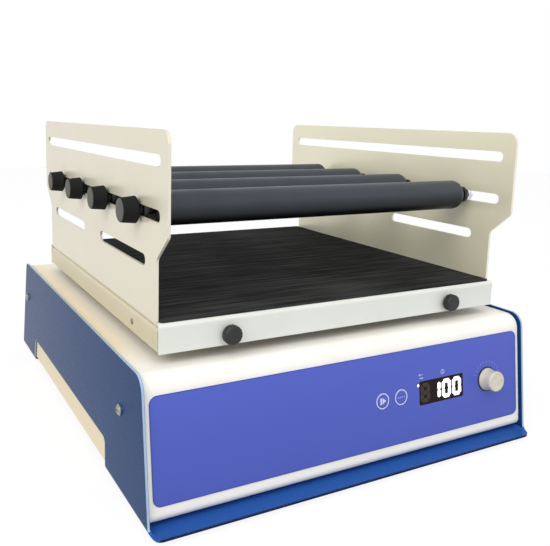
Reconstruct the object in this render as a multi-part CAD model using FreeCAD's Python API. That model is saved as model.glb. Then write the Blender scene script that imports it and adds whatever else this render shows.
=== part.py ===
import FreeCAD, Part
import math
import os

from FreeCAD import Rotation, Vector

# Benchtop orbital shaker with an adjustable-bar flask carrier.
# A crank on the vertical drive shaft swings the platform round in an 8 mm circle. The platform
# turns back on the crank pin as fast as the crank turns forward, so it orbits without rotating.
# Three idler cranks hold it level and keep it facing the front.
# Frame: +X to the right, +Y to the back, +Z up. The origin is the middle of the footprint, on the bench.
# All sizes are millimetres.

# Clearances that several pieces share
running_gap = 0.05
seat_gap = 0.3
cut_past = 1.0

# Base pan: one folded sheet, a floor with a cheek turned up at each side
base_width = 360.0
foot_height = 4.0
pan_sheet = 2.0
pan_bend = 6.0
cheek_height = 106.0
lip_front_y = -215.0
lip_corner = 9.0
cheek_front_low_y = -206.6
cheek_front_top_y = -193.5
cheek_rear_top_y = 182.5
cheek_rear_low_y = 215.0
cheek_front_radius = 12.0
cheek_rear_radius = 7.0
lip_fillet = 6.0

# Long cut-out in the foot of each cheek
notch_front_y = -113.0
notch_rear_y = 146.0
notch_height = 28.0
notch_flare = 4.0
notch_radius = 5.0
notch_depth = 8.0

# Cover: a folded sheet between the cheeks
cover_sheet = 1.5
cover_side_gap = 0.6
cover_top_drop = 2.0
cover_lip_gap = 2.5
cover_front_inset = 3.5
cover_rear_inset = 4.0
cover_front_radius = 12.0
cover_low_radius = 6.0
cover_rear_radius = 6.0
cover_return = 12.0
rear_frame = 12.0

# Control face, measured from its middle point along the sloping front
face_mid_z = 58.0
overlay_side_gap = 6.0
overlay_height = 75.5
overlay_thick = 0.6
overlay_corner = 6.0
window_from_edge = 89.5
window_y = -0.5
window_length = 49.0
window_height = 20.0
window_rim = 1.0
window_corner = 1.5
display_margin = 2.5
display_gap = 0.4
digit_pitch = 13.0
digit_length = 10.6
digit_height = 12.6
digit_corner = 0.8
digit_depth = 0.8
key_from_edge = 133.4
key_pitch = 19.0
key_radius = 6.5
key_skirt_gap = 0.6
key_bevel = 1.2
key_crown = 0.25
key_travel = 0.5
key_switch_gap = 0.1
key_stem_radius = 2.0
key_stem_length = 4.0
key_switch_length = 6.0
key_plunger_radius = 1.7
key_plunger_rise = 1.0
knob_from_edge = 36.5
knob_radius = 9.6
knob_face_radius = 8.7
knob_length = 11.6
knob_wall = 3.2
knob_recess = 3.0
knob_shaft_radius = 3.0
encoder_bush_radius = 3.5
encoder_bush_rise = 1.6
encoder_nut_radius = 5.6
encoder_nut_thick = 1.5
encoder_length = 14.0
encoder_height = 13.0
encoder_drop = 3.5
encoder_shaft_drop = 5.5
board_depth = 12.4
board_thick = 1.6
board_length = 190.0
board_height = 58.0
board_side_gap = 10.4
spacer_inset_x = 6.0
spacer_inset_y = 5.0
spacer_radius = 3.0
spacer_stud_radius = 1.5
spacer_stud_length = 3.0

# Rear face fittings, measured from the middle of the sloping rear panel
inlet_side_gap = 62.4
inlet_length = 50.0
inlet_height = 28.0
inlet_depth = 24.0
inlet_plate = 3.0
inlet_corner = 3.0
inlet_rim = 3.0
inlet_mouth_length = 24.5
inlet_mouth_height = 16.5
inlet_mouth_depth = 18.0
inlet_mouth_x = -8.0
inlet_mouth_chamfer = 5.0
inlet_pin_x = 7.0
inlet_pin_low_y = -1.5
inlet_pin_high_y = 2.5
inlet_pin_width = 2.0
inlet_pin_height = 4.0
inlet_pin_length = 11.0
fuse_drawer_x = 15.0
fuse_drawer_length = 11.0
fuse_drawer_height = 20.0
fuse_drawer_rise = 0.4
switch_pitch = 53.0
switch_length = 19.0
switch_height = 27.0
switch_depth = 18.0
switch_rim = 1.5
switch_plate = 0.5
switch_wall = 3.0
switch_well_depth = 9.0
rocker_gap = 0.6
rocker_rise = 1.6
rocker_waist = 0.2
rocker_pivot_depth = 3.0
rocker_hub_radius = 3.5
rocker_tilt = 10.0

# Drive
drive_y = -7.0
orbit_radius = 8.0
deck_z = 76.0
deck_thick = 4.0
deck_side_gap = 28.0
deck_front_y = -137.0
deck_rear_y = 153.0
deck_corner = 12.0
shaft_radius = 7.5
shaft_low_z = 37.0
housing_radius = 22.0
housing_length = 38.0
housing_flange = 5.0
housing_flange_radius = 34.0
housing_shoulder = 4.0
bearing_radius = 16.0
bearing_width = 9.0
crank_radius = 20.0
crank_gap = 3.0
crank_thick = 6.0
pin_radius = 5.0
pin_gap = 1.5
pin_bearing_wall = 8.0
idler_circle = 105.0
idler_angles = (90.0, 210.0, 330.0)
idler_shaft_radius = 5.0
idler_housing_radius = 15.0
idler_housing_length = 28.0
idler_flange_radius = 22.0
idler_flange = 4.0
idler_bush_wall = 2.5
idler_bush_collar = 3.0
idler_bush_rise = 1.5
idler_shaft_drop = 2.0
idler_crank_radius = 16.0
idler_pin_radius = 4.0
idler_bearing_wall = 7.0
shaft_hole_radius = 14.0
pulley_radius = 52.0
pulley_width = 12.0
pulley_hub_radius = 14.0
pulley_rim = 6.0
pulley_web = 4.0
motor_pulley_radius = 13.0
pulley_gap = 2.0
belt_thick = 1.8
belt_width = 9.0
belt_gap = 0.3
motor_x = 85.0
motor_y = 48.0
motor_radius = 32.0
motor_length = 52.0
motor_shaft_radius = 4.0
motor_shaft_spare = 2.0
motor_chamfer = 2.0
motor_base = 8.0
motor_boss_wall = 8.0
counterweight_radius = 50.0
counterweight_collar = 16.0
counterweight_thick = 6.0
supply_x = -80.0
supply_y = 84.5
supply_length = 90.0
supply_width = 73.0
supply_height = 38.0
vent_count = 7
vent_pitch = 9.0
vent_width = 3.0
vent_depth = 1.5
vent_margin = 10.0

# Platform: a shallow pan on the crank pins, and the carrier tray that drops over it
platform_half_x = 160.0
platform_half_y = 160.0
tray_top_z = 138.0
tray_sheet = 1.5
tray_flange = 21.5
platform_sheet = 2.0
platform_bend = 3.0
fold_reach = 8.0
pan_flange_rise = 1.0
mat_thick = 1.5
mat_inset = 2.6
mat_side_gap = 0.5
mat_corner = 2.0
hub_height = 12.5
hub_radius = 18.0
hub_flange = 6.0
hub_flange_thick = 3.0
hub_lip = 2.0
hub_step = 3.0
platform_bearing_width = 8.0
bearing_rise = 1.0

# Side plates of the carrier, with their adjusting slots, as heights above the tray
plate_sheet = 2.0
plate_height = 132.0
plate_foot_inset = 6.0
plate_overhang = 15.0
step_low_height = 44.0
step_high_height = 62.5
plate_top_radius = 9.0
plate_step_radius = 5.0
plate_foot = 20.0
slot_width = 8.8
top_slot_height = 111.4
top_slot_margin = 13.0
bar_slot_height = 74.2
bar_slot_margin = 14.0
low_slot_height = 39.5
low_slot_near_y = 24.0
low_slot_margin = 21.0

# Bars, from the back to the front, as distances from the middle of the platform
bar_places = (95.0, 27.0, -45.0, -119.0)
rod_radius = 4.0
sleeve_radius = 13.0
sleeve_end_gap = 8.0
sleeve_round = 6.5
collar_radius = 7.0
collar_thick = 3.0
nut_radius = 6.5
nut_thick = 5.0
rod_spare = 1.5
clamp_radius = 9.9
clamp_face_radius = 8.5
clamp_neck_radius = 5.6
clamp_length = 14.0
clamp_neck_length = 4.2
clamp_shoulder = 1.2
clamp_wall = 3.0

# Thumb screws that hold the tray on the platform
thumb_inset_x = 54.0
thumb_drop = 12.6
thumb_radius = 7.2
thumb_length = 8.6
thumb_ribs = 16
thumb_shank_radius = 2.5
thumb_shank_spare = 5.0
thumb_neck_radius = 4.2
thumb_neck_length = 1.4
thumb_groove_radius = 0.7
thumb_groove_out = 0.25
thumb_nut_radius = 5.0
thumb_nut_thick = 4.0

# Feet, pillars and screws
foot_radius = 13.0
foot_draft = 0.8
foot_bore_radius = 6.0
foot_seat = 2.4
foot_head_radius = 3.8
foot_head_thick = 1.6
foot_nut_radius = 3.6
foot_nut_thick = 3.2
foot_screw_spare = 5.0
foot_inset_x = 32.0
foot_front_y = -175.0
foot_rear_y = 171.0
pillar_radius = 5.0
pillar_inset_x = 14.0
deck_screw_radius = 2.0
deck_head_radius = 4.0
deck_head_bevel = 1.0
deck_head_thick = 3.0
pillar_front_y = -123.0
pillar_rear_y = 139.0
cheek_screw_y = (-151.0, 179.0)
cheek_screw_z = 71.0
cheek_screw_radius = 4.2
cheek_screw_shank = 2.0
cheek_screw_head = 2.4
cheek_screw_spare = 3.0
cross_length = 4.4
cross_width = 0.9
cross_depth = 1.2
rear_screw_shank = 1.5
rear_screw_radius = 3.0
rear_screw_head = 1.8
rivet_inset_y = 55.0
rivet_drop = 13.0
rivet_radius = 1.6
rivet_flange = 0.9
rivet_head = 0.8
rivet_tail = 1.0
tray_rivet_count = 4
tray_rivet_margin = 34.0
tray_rivet_inset_x = 12.0
tray_rivet_radius = 2.0
tray_rivet_flare = 1.2

# Planes that follow from the sizes above
floor_top_z = foot_height + pan_sheet
cheek_top_z = foot_height + cheek_height
cheek_inner_x = base_width / 2 - pan_sheet
cover_half_x = cheek_inner_x - cover_side_gap
cover_low_z = floor_top_z + cover_lip_gap
cover_top_z = cheek_top_z - cover_top_drop
front_slope = (cheek_front_top_y - cheek_front_low_y) / cheek_height
rear_slope = (cheek_rear_low_y - cheek_rear_top_y) / cheek_height
deck_top_z = deck_z + deck_thick
crank_z = cover_top_z + crank_gap
pulley_z = deck_top_z + housing_flange + pulley_gap
deck_half_x = cheek_inner_x - deck_side_gap
pillar_x = deck_half_x - pillar_inset_x
foot_x = base_width / 2 - foot_inset_x
motor_boss_radius = motor_shaft_radius + motor_boss_wall
platform_y = drive_y - orbit_radius
plate_foot_z = tray_top_z - tray_sheet - plate_sheet
pan_top_z = plate_foot_z
pan_under_z = pan_top_z - platform_sheet
hub_low_z = pan_under_z - hub_height
pin_length = pan_under_z - pin_gap - crank_z - crank_thick
tray_low_z = tray_top_z - tray_flange
tray_front_y = platform_y - platform_half_y
thumb_z = tray_top_z - thumb_drop
rivet_z = tray_top_z - rivet_drop

# Places on the control face and on the rear panel
overlay_length = base_width - 2 * overlay_side_gap
window_x = overlay_length / 2 - window_from_edge
key_x = (overlay_length / 2 - key_from_edge - key_pitch, overlay_length / 2 - key_from_edge)
knob_x = overlay_length / 2 - knob_from_edge
board_x = cover_half_x - board_side_gap - board_length / 2
key_low = key_skirt_gap - cover_sheet
encoder_low = -cover_sheet - encoder_drop
inlet_x = inlet_side_gap - cover_half_x
switch_x = inlet_x + switch_pitch

# Outline and slots of the side plates, measured from the tray and the middle of the platform
plate_top_z = tray_top_z + plate_height
plate_step_low_z = tray_top_z + step_low_height
plate_step_high_z = tray_top_z + step_high_height
top_slot_z = tray_top_z + top_slot_height
bar_slot_z = tray_top_z + bar_slot_height
low_slot_z = tray_top_z + low_slot_height
plate_low_half_y = platform_half_y - plate_foot_inset
plate_high_half_y = platform_half_y + plate_overhang
top_slot_half_y = plate_high_half_y - top_slot_margin
bar_slot_half_y = plate_high_half_y - bar_slot_margin
low_slot_far_y = plate_low_half_y - low_slot_margin
thumb_x = (thumb_inset_x - platform_half_x, platform_half_x - thumb_inset_x)
rivet_y = tray_front_y + rivet_inset_y

X_AXIS = Vector(1, 0, 0)
Y_AXIS = Vector(0, 1, 0)
Z_AXIS = Vector(0, 0, 1)


# Shape helpers

def block(x0, x1, y0, y1, z0, z1):
    return Part.makeBox(x1 - x0, y1 - y0, z1 - z0, Vector(x0, y0, z0))


def rod(radius, start, axis, length):
    return Part.makeCylinder(radius, length, start, axis)


def tube(outer, inner, start, axis, length):
    return rod(outer, start, axis, length).cut(rod(inner, start, axis, length))


def rounded_wire(points, radii):
    # Closed outline through the points, each corner rounded by its own radius.
    entries = []
    exits = []
    arcs = []
    count = len(points)
    for index in range(count):
        here = points[index]
        radius = radii[index]
        if radius <= 0:
            entries.append(here)
            exits.append(here)
            arcs.append(None)
            continue
        back = (points[index - 1] - here).normalize()
        ahead = (points[(index + 1) % count] - here).normalize()
        half = back.getAngle(ahead) / 2
        reach = radius / math.tan(half)
        inward = (back + ahead).normalize()
        middle = here + inward * (radius / math.sin(half) - radius)
        entries.append(here + back * reach)
        exits.append(here + ahead * reach)
        arcs.append(Part.Arc(entries[-1], middle, exits[-1]).toShape())
    edges = []
    for index in range(count):
        if arcs[index]:
            edges.append(arcs[index])
        leave = exits[index]
        arrive = entries[(index + 1) % count]
        if leave.distanceToPoint(arrive) > 1e-6:
            edges.append(Part.LineSegment(leave, arrive).toShape())
    return Part.Wire(edges)


def prism(points, radii, sweep):
    return Part.Face(rounded_wire(points, radii)).extrude(sweep)


def rounded_plate(length, height, radius, thick, low=0.0):
    # Plate centred on the local origin, standing on z = low.
    x, y = length / 2, height / 2
    corners = [Vector(-x, -y, low), Vector(x, -y, low), Vector(x, y, low), Vector(-x, y, low)]
    return prism(corners, [radius] * 4, Vector(0, 0, thick))


def side_prism(outline, radii, x0, x1):
    # Outline of (y, z) pairs swept along X.
    return prism([Vector(x0, y, z) for y, z in outline], radii, Vector(x1 - x0, 0, 0))


def slot_cutter(y0, y1, z, height, x0, x1):
    # Slot with round ends from y0 to y1, cut along X.
    r = height / 2
    near = rod(r, Vector(x0, y0 + r, z), X_AXIS, x1 - x0)
    far = rod(r, Vector(x0, y1 - r, z), X_AXIS, x1 - x0)
    return near.fuse([far, block(x0, x1, y0 + r, y1 - r, z - r, z + r)])


def turned(profile, origin=Vector(0, 0, 0), axis=Z_AXIS):
    # Solid of revolution from (radius, height) pairs about the axis through the origin.
    points = [Vector(r, 0, h) for r, h in profile]
    solid = Part.Face(Part.makePolygon(points + points[:1])).revolve(Vector(0, 0, 0), Z_AXIS, 360)
    solid.Placement = FreeCAD.Placement(origin, Rotation(Z_AXIS, axis))
    return solid


def mirrored(shape):
    return shape.mirror(Vector(0, 0, 0), X_AXIS)


def group(shapes):
    return Part.makeCompound(shapes)


def at_places(shape, places):
    # One copy of the shape at each (x, y) place.
    return group([shape.translated(Vector(x, y, 0)) for x, y in places])


def face_frame(origin, right, up):
    # Placement whose local X is right, local Y is up and local Z comes out of the face.
    return FreeCAD.Placement(origin, Rotation(right, up, right.cross(up), "ZXY"))


def save(name, shape):
    shape.exportStep("parts/" + name + ".step")


# Sloping faces

def cheek_front_y(z):
    return cheek_front_low_y + front_slope * (z - foot_height)


def cheek_rear_y(z):
    return cheek_rear_low_y - rear_slope * (z - foot_height)


def cover_front_y(z):
    return cheek_front_y(z) + cover_front_inset


def cover_rear_y(z):
    return cheek_rear_y(z) - cover_rear_inset


front_up = Vector(0, front_slope, 1).normalize()
rear_up = Vector(0, -rear_slope, 1).normalize()
front_place = face_frame(Vector(0, cover_front_y(face_mid_z), face_mid_z), X_AXIS, front_up)
rear_place = face_frame(Vector(0, cover_rear_y(face_mid_z), face_mid_z), -X_AXIS, rear_up)


def on_front(shape):
    return shape.transformed(front_place.toMatrix())


def on_rear(shape):
    return shape.transformed(rear_place.toMatrix())


# Base casing

def base_pan():
    half = base_width / 2
    length = cheek_rear_low_y - lip_front_y
    outer = [Vector(-half, lip_front_y, cheek_top_z), Vector(-half, lip_front_y, foot_height),
             Vector(half, lip_front_y, foot_height), Vector(half, lip_front_y, cheek_top_z)]
    inner = [Vector(-cheek_inner_x, lip_front_y, cheek_top_z + 1),
             Vector(-cheek_inner_x, lip_front_y, floor_top_z),
             Vector(cheek_inner_x, lip_front_y, floor_top_z),
             Vector(cheek_inner_x, lip_front_y, cheek_top_z + 1)]
    inner_bend = pan_bend - pan_sheet
    channel = prism(outer, [0, pan_bend, pan_bend, 0], Y_AXIS * length)
    channel = channel.cut(prism(inner, [0, inner_bend, inner_bend, 0], Y_AXIS * length))
    outline = [(cheek_rear_low_y, foot_height), (cheek_rear_top_y, cheek_top_z),
               (cheek_front_top_y, cheek_top_z), (cheek_front_y(floor_top_z), floor_top_z),
               (lip_front_y, floor_top_z), (lip_front_y, foot_height)]
    radii = [0, cheek_rear_radius, cheek_front_radius, lip_fillet, 0, 0]
    pan = channel.common(side_prism(outline, radii, -half, half))
    plan = [Vector(-half, lip_front_y, 0), Vector(half, lip_front_y, 0),
            Vector(half, cheek_rear_low_y, 0), Vector(-half, cheek_rear_low_y, 0)]
    pan = pan.common(prism(plan, [lip_corner, lip_corner, 0, 0], Z_AXIS * cheek_top_z))
    pan = pan.cut(group([notch_cutter(), mirrored(notch_cutter())]))
    holes = [rod(cheek_screw_shank + running_gap, Vector(-half, y, cheek_screw_z), X_AXIS, base_width)
             for y in cheek_screw_y]
    for x, y in foot_places() + pillar_places():
        holes.append(rod(cheek_screw_shank + running_gap, Vector(x, y, 0), Z_AXIS, floor_top_z + 1))
    return pan.cut(group(holes))


def notch_cutter():
    top = foot_height + notch_height
    rear_low = notch_rear_y + rear_slope * notch_height
    outline = [(notch_front_y, top), (notch_rear_y, top), (rear_low, foot_height),
               (rear_low, 0), (notch_front_y - notch_flare, 0),
               (notch_front_y - notch_flare, foot_height), (notch_front_y, foot_height + notch_flare)]
    radii = [notch_radius, notch_radius, 0, 0, 0, 0, 0]
    half = base_width / 2
    return side_prism(outline, radii, -half - 1, -half + notch_depth)


def top_cover():
    outline = [(cover_front_y(cover_low_z), cover_low_z), (cover_front_y(cover_top_z), cover_top_z),
               (cover_rear_y(cover_top_z), cover_top_z), (cover_rear_y(cover_low_z), cover_low_z)]
    radii = [cover_low_radius, cover_front_radius, cover_rear_radius, 0]
    wire = rounded_wire([Vector(-cover_half_x, y, z) for y, z in outline], radii)
    outer = Part.Face(wire).extrude(Vector(2 * cover_half_x, 0, 0))
    inner_face = Part.Face(wire).makeOffset2D(-cover_sheet)
    inner_face.translate(Vector(cover_sheet, 0, 0))
    cover = outer.cut(inner_face.extrude(Vector(2 * (cover_half_x - cover_sheet), 0, 0)))
    inner_x = cover_half_x - cover_sheet
    floor_cut = block(-inner_x, inner_x, cover_front_y(cover_low_z) + cover_return, cheek_rear_low_y,
                      0, cover_low_z + cover_sheet)
    frame_x = cover_half_x - rear_frame
    rear_cut = on_rear(block(-frame_x, frame_x, -face_mid_z, rear_height_up(), -2 * cover_sheet,
                             2 * cover_sheet))
    cover = cover.cut(group([floor_cut, rear_cut]))
    holes = [rod(shaft_hole_radius, Vector(x, y, cover_top_z - 2 * cover_sheet), Z_AXIS, 4 * cover_sheet)
             for x, y in [(0, drive_y)] + idler_places()]
    for x in (-cover_half_x - cut_past, cover_half_x - rear_frame):
        for y in cheek_screw_y:
            holes.append(rod(cheek_screw_shank + running_gap, Vector(x, y, cheek_screw_z), X_AXIS,
                             rear_frame + cut_past))
    holes.extend(on_front(cutter) for cutter in front_cutters())
    return cover.cut(group(holes + rear_screw_holes()))


def rear_height_up():
    # How far the opening in the rear frame reaches above the middle of the rear face.
    return (cover_top_z - rear_frame - face_mid_z) / rear_up.z


def front_cutters():
    # Holes in the front sheet for the display, the two keys and the speed control.
    depth = 2 * cover_sheet
    window = rounded_plate(window_length - 2 * window_rim, window_height - 2 * window_rim,
                           window_corner, 2 * depth, -depth)
    window.translate(Vector(window_x, window_y, 0))
    cutters = [window]
    for x in key_x:
        cutters.append(rod(key_radius + seat_gap, Vector(x, 0, -depth), Z_AXIS, 2 * depth))
    cutters.append(rod(encoder_bush_radius + running_gap, Vector(knob_x, 0, -depth), Z_AXIS, 2 * depth))
    return cutters


def rear_panel():
    # Flat panel inside the frame of the cover, with holes for the inlet and the switch.
    low = (cover_low_z + cover_sheet + cut_past - face_mid_z) / rear_up.z
    high = rear_height_up() + rear_frame / 2
    side = cover_half_x - cover_sheet - cut_past
    panel = block(-side, side, low, high, -2 * cover_sheet, -cover_sheet)
    inlet = fitting_hole(inlet_x, inlet_length, inlet_height, inlet_rim)
    switch = fitting_hole(switch_x, switch_length, switch_height, switch_rim)
    return on_rear(panel.cut(group([inlet, switch]))).cut(group(rear_screw_holes()))


def fitting_hole(x, length, height, rim):
    # Hole in the rear panel, a seat gap wider than the body behind the fitting's rim.
    spare = 2 * (seat_gap - rim)
    hole = rounded_plate(length + spare, height + spare, seat_gap, 4 * cover_sheet, -3 * cover_sheet)
    hole.translate(Vector(x, 0, 0))
    return hole


def rear_screw_places():
    side = cover_half_x - rear_frame / 2
    low = (cover_low_z + rear_frame - face_mid_z) / rear_up.z
    return [(x, y) for x in (-side, side) for y in (low, rear_height_up() - rear_frame)]


def rear_screw_holes():
    return [on_rear(rod(rear_screw_shank, Vector(x, y, -3 * cover_sheet), Z_AXIS, 4 * cover_sheet))
            for x, y in rear_screw_places()]


def rear_panel_screws():
    profile = [(0, -2 * cover_sheet), (rear_screw_shank, -2 * cover_sheet), (rear_screw_shank, 0),
               (rear_screw_radius, 0), (rear_screw_radius, rear_screw_head / 2),
               (rear_screw_radius * 0.7, rear_screw_head), (0, rear_screw_head)]
    return group([on_rear(turned(profile, Vector(x, y, 0))) for x, y in rear_screw_places()])


def cheek_screws():
    # Pan-head screws with a cross recess, two in each cheek.
    head = cheek_screw_head
    length = pan_sheet + cover_side_gap + cover_sheet + cheek_screw_spare
    profile = [(0, -length), (cheek_screw_shank, -length), (cheek_screw_shank, 0), (cheek_screw_radius, 0),
               (cheek_screw_radius, head * 0.45), (cheek_screw_radius * 0.62, head), (0, head)]
    screw = turned(profile)
    for turn in (0, 90):
        bar = block(-cross_length / 2, cross_length / 2, -cross_width / 2, cross_width / 2,
                    head - cross_depth, head + cut_past)
        bar.rotate(Vector(0, 0, 0), Z_AXIS, turn)
        screw = screw.cut(bar)
    screws = []
    for y in cheek_screw_y:
        for side in (-1, 1):
            piece = screw.copy()
            piece.Placement = FreeCAD.Placement(Vector(side * base_width / 2, y, cheek_screw_z),
                                                Rotation(Z_AXIS, X_AXIS * side))
            screws.append(piece)
    return group(screws)


def foot_places():
    return [(x, y) for x in (-foot_x, foot_x) for y in (foot_front_y, foot_rear_y)]


def rubber_feet():
    bore = cheek_screw_shank + running_gap
    profile = [(foot_bore_radius, 0), (foot_radius - 2 * foot_draft, 0),
               (foot_radius - foot_draft, foot_draft), (foot_radius, foot_height), (bore, foot_height),
               (bore, foot_seat), (foot_bore_radius, foot_seat)]
    return at_places(turned(profile), foot_places())


def foot_screws():
    low = foot_seat - foot_head_thick
    top = floor_top_z + foot_screw_spare
    nut_top = floor_top_z + foot_nut_thick
    profile = [(0, low), (foot_head_radius, low), (foot_head_radius, foot_seat),
               (cheek_screw_shank, foot_seat), (cheek_screw_shank, floor_top_z),
               (foot_nut_radius, floor_top_z), (foot_nut_radius, nut_top), (cheek_screw_shank, nut_top),
               (cheek_screw_shank, top), (0, top)]
    return at_places(turned(profile), foot_places())


# Front controls

def control_overlay():
    sheet = rounded_plate(overlay_length, overlay_height, overlay_corner, overlay_thick)
    low, depth = -overlay_thick, 3 * overlay_thick
    window = rounded_plate(window_length, window_height, window_corner, depth, low)
    window.translate(Vector(window_x, window_y, 0))
    cutters = [window, rod(encoder_nut_radius + key_skirt_gap, Vector(knob_x, 0, low), Z_AXIS, depth)]
    for x in key_x:
        cutters.append(rod(key_radius + seat_gap, Vector(x, 0, low), Z_AXIS, depth))
    return on_front(sheet.cut(group(cutters)))


def display_window():
    lens = rounded_plate(window_length, window_height, window_corner, overlay_thick)
    lens.translate(Vector(window_x, window_y, 0))
    return on_front(lens)


def display_module():
    # Block behind the window with a shallow well for each of its three digits.
    length = window_length - 2 * display_margin
    height = window_height - 2 * display_margin
    body = rounded_plate(length, height, digit_corner, board_depth - display_gap, -board_depth)
    low = -display_gap - digit_depth
    well = rounded_plate(digit_length, digit_height, digit_corner, digit_depth + cut_past, low)
    body = body.cut(at_places(well, [(place * digit_pitch, 0) for place in (-1, 0, 1)]))
    body.translate(Vector(window_x, window_y, 0))
    return on_front(body)


def membrane_key(x):
    # Flush disc with a shallow crown and a stem that reaches for its switch.
    low = key_low - key_stem_length
    profile = [(0, low), (key_stem_radius, low), (key_stem_radius, key_low), (key_radius, key_low),
               (key_radius, overlay_thick - key_crown / 2),
               (key_radius - key_bevel, overlay_thick + key_crown / 2), (0, overlay_thick + key_crown)]
    return on_front(turned(profile, Vector(x, 0, 0)))


def key_switches():
    plunger_top = key_low - key_stem_length - key_travel - key_switch_gap
    body_top = plunger_top - key_plunger_rise
    half = key_switch_length / 2
    body = block(-half, half, -half, half, -board_depth, body_top)
    plunger = rod(key_plunger_radius, Vector(0, 0, body_top), Z_AXIS, key_plunger_rise)
    return on_front(at_places(body.fuse(plunger), [(x, 0) for x in key_x]))


def encoder():
    half_x, half_y = encoder_length / 2, encoder_height / 2
    body = block(-half_x, half_x, -half_y, half_y, -board_depth, encoder_low)
    bush_top = overlay_thick + encoder_bush_rise
    bush = rod(encoder_bush_radius, Vector(0, 0, encoder_low), Z_AXIS, bush_top - encoder_low)
    nut = rod(encoder_nut_radius, Vector(0, 0, 0), Z_AXIS, encoder_nut_thick)
    low = -cover_sheet - encoder_shaft_drop - cut_past
    bore = rod(knob_shaft_radius + running_gap, Vector(0, 0, low), Z_AXIS, bush_top + cut_past - low)
    piece = body.fuse([bush, nut]).cut(bore)
    piece.translate(Vector(knob_x, 0, 0))
    return on_front(piece)


def encoder_shaft():
    low = -cover_sheet - encoder_shaft_drop
    top = overlay_thick + seat_gap + knob_length - knob_recess
    return on_front(rod(knob_shaft_radius, Vector(knob_x, 0, low), Z_AXIS, top - low))


def speed_knob():
    # Hollow skirt over the nut, a small step at its foot, a slight taper and a rounded rim.
    low = overlay_thick + seat_gap
    top = low + knob_length
    skirt = knob_radius - knob_wall
    bore_top = top - knob_recess
    profile = [(skirt, low), (knob_radius, low), (knob_radius, low + 1.4), (knob_radius - 0.5, low + 1.9),
               (knob_face_radius, top - 1.1), (knob_face_radius - 0.3, top - 0.5),
               (knob_face_radius - 0.9, top - 0.1), (knob_face_radius - 1.6, top), (0, top),
               (0, bore_top), (knob_shaft_radius, bore_top), (knob_shaft_radius, low + knob_recess),
               (skirt, low + knob_recess)]
    return on_front(turned(profile, Vector(knob_x, 0, 0)))


def control_board():
    low = -board_depth - board_thick
    board = block(board_x - board_length / 2, board_x + board_length / 2,
                  -board_height / 2, board_height / 2, low, -board_depth)
    hole = rod(spacer_stud_radius + running_gap, Vector(0, 0, low - cut_past), Z_AXIS,
               board_thick + 2 * cut_past)
    return on_front(board.cut(at_places(hole, spacer_places())))


def spacer_places():
    x = board_length / 2 - spacer_inset_x
    y = board_height / 2 - spacer_inset_y
    return [(board_x + sx * x, sy * y) for sx in (-1, 1) for sy in (-1, 1)]


def board_spacers():
    low = -board_depth - board_thick - spacer_stud_length
    profile = [(0, low), (spacer_stud_radius, low), (spacer_stud_radius, -board_depth),
               (spacer_radius, -board_depth), (spacer_radius, -cover_sheet), (0, -cover_sheet)]
    return on_front(at_places(turned(profile), spacer_places()))


# Rear fittings

def mains_inlet():
    # Three-pin inlet with a fuse drawer beside it, in one plate.
    plate = rounded_plate(inlet_length, inlet_height, inlet_corner, inlet_plate, -cover_sheet)
    body = rounded_plate(inlet_length - 2 * inlet_rim, inlet_height - 2 * inlet_rim, seat_gap,
                         inlet_depth - cover_sheet, -inlet_depth)
    face = inlet_plate - cover_sheet
    deep = face - inlet_mouth_depth
    left, right = inlet_mouth_x - inlet_mouth_length / 2, inlet_mouth_x + inlet_mouth_length / 2
    y = inlet_mouth_height / 2
    chamfer = inlet_mouth_chamfer
    outline = [(left, -y), (right, -y), (right, y - chamfer), (right - chamfer, y),
               (left + chamfer, y), (left, y - chamfer)]
    mouth = prism([Vector(a, b, deep) for a, b in outline], [1] * len(outline),
                  Z_AXIS * (inlet_mouth_depth + cut_past))
    drawer = rounded_plate(fuse_drawer_length, fuse_drawer_height, seat_gap, 2 * fuse_drawer_rise,
                           face - fuse_drawer_rise)
    drawer.translate(Vector(fuse_drawer_x, 0, 0))
    pin = rounded_plate(inlet_pin_width, inlet_pin_height, seat_gap, inlet_pin_length + cut_past,
                        deep - cut_past)
    pins = [pin.translated(Vector(inlet_mouth_x + x, y, 0))
            for x, y in ((-inlet_pin_x, inlet_pin_low_y), (inlet_pin_x, inlet_pin_low_y),
                         (0, inlet_pin_high_y))]
    inlet = plate.fuse(body).cut(mouth).fuse([drawer] + pins)
    inlet.translate(Vector(inlet_x, 0, 0))
    return on_rear(inlet)


def switch_housing():
    frame = rounded_plate(switch_length, switch_height, switch_rim, cover_sheet + switch_plate,
                          -cover_sheet)
    body = rounded_plate(switch_length - 2 * switch_rim, switch_height - 2 * switch_rim, seat_gap,
                         switch_depth - cover_sheet, -switch_depth)
    well = rounded_plate(switch_length - 2 * switch_wall, switch_height - 2 * switch_wall, seat_gap,
                         switch_well_depth + 2 * switch_plate, -switch_well_depth)
    housing = frame.fuse(body).cut(well)
    housing.translate(Vector(switch_x, 0, 0))
    return on_rear(housing)


def power_rocker():
    # Two-lobed rocker on a round hub, tipped to the side that is pressed in.
    half_x = switch_length / 2 - switch_wall - seat_gap
    half_y = switch_height / 2 - switch_wall - rocker_gap
    hub = rocker_hub_radius
    outline = [(-half_y, -1.0), (-half_y + 0.6, -hub), (0, -rocker_pivot_depth - hub),
               (half_y - 0.6, -hub), (half_y, -1.0), (half_y, rocker_rise), (0, rocker_waist),
               (-half_y, rocker_rise)]
    rocker = side_prism(outline, [0.3, 0.3, 2, 0.3, 0.3, 0.5, 6, 0.5], -half_x, half_x)
    rocker.rotate(Vector(0, 0, -rocker_pivot_depth), X_AXIS, -rocker_tilt)
    rocker.translate(Vector(switch_x, 0, 0))
    return on_rear(rocker)


# Drive

def idler_places():
    turns = [math.radians(angle) for angle in idler_angles]
    return [(idler_circle * math.cos(a), drive_y + idler_circle * math.sin(a)) for a in turns]


def pillar_places():
    return [(x, y) for x in (-pillar_x, pillar_x) for y in (pillar_front_y, pillar_rear_y)]


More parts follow.
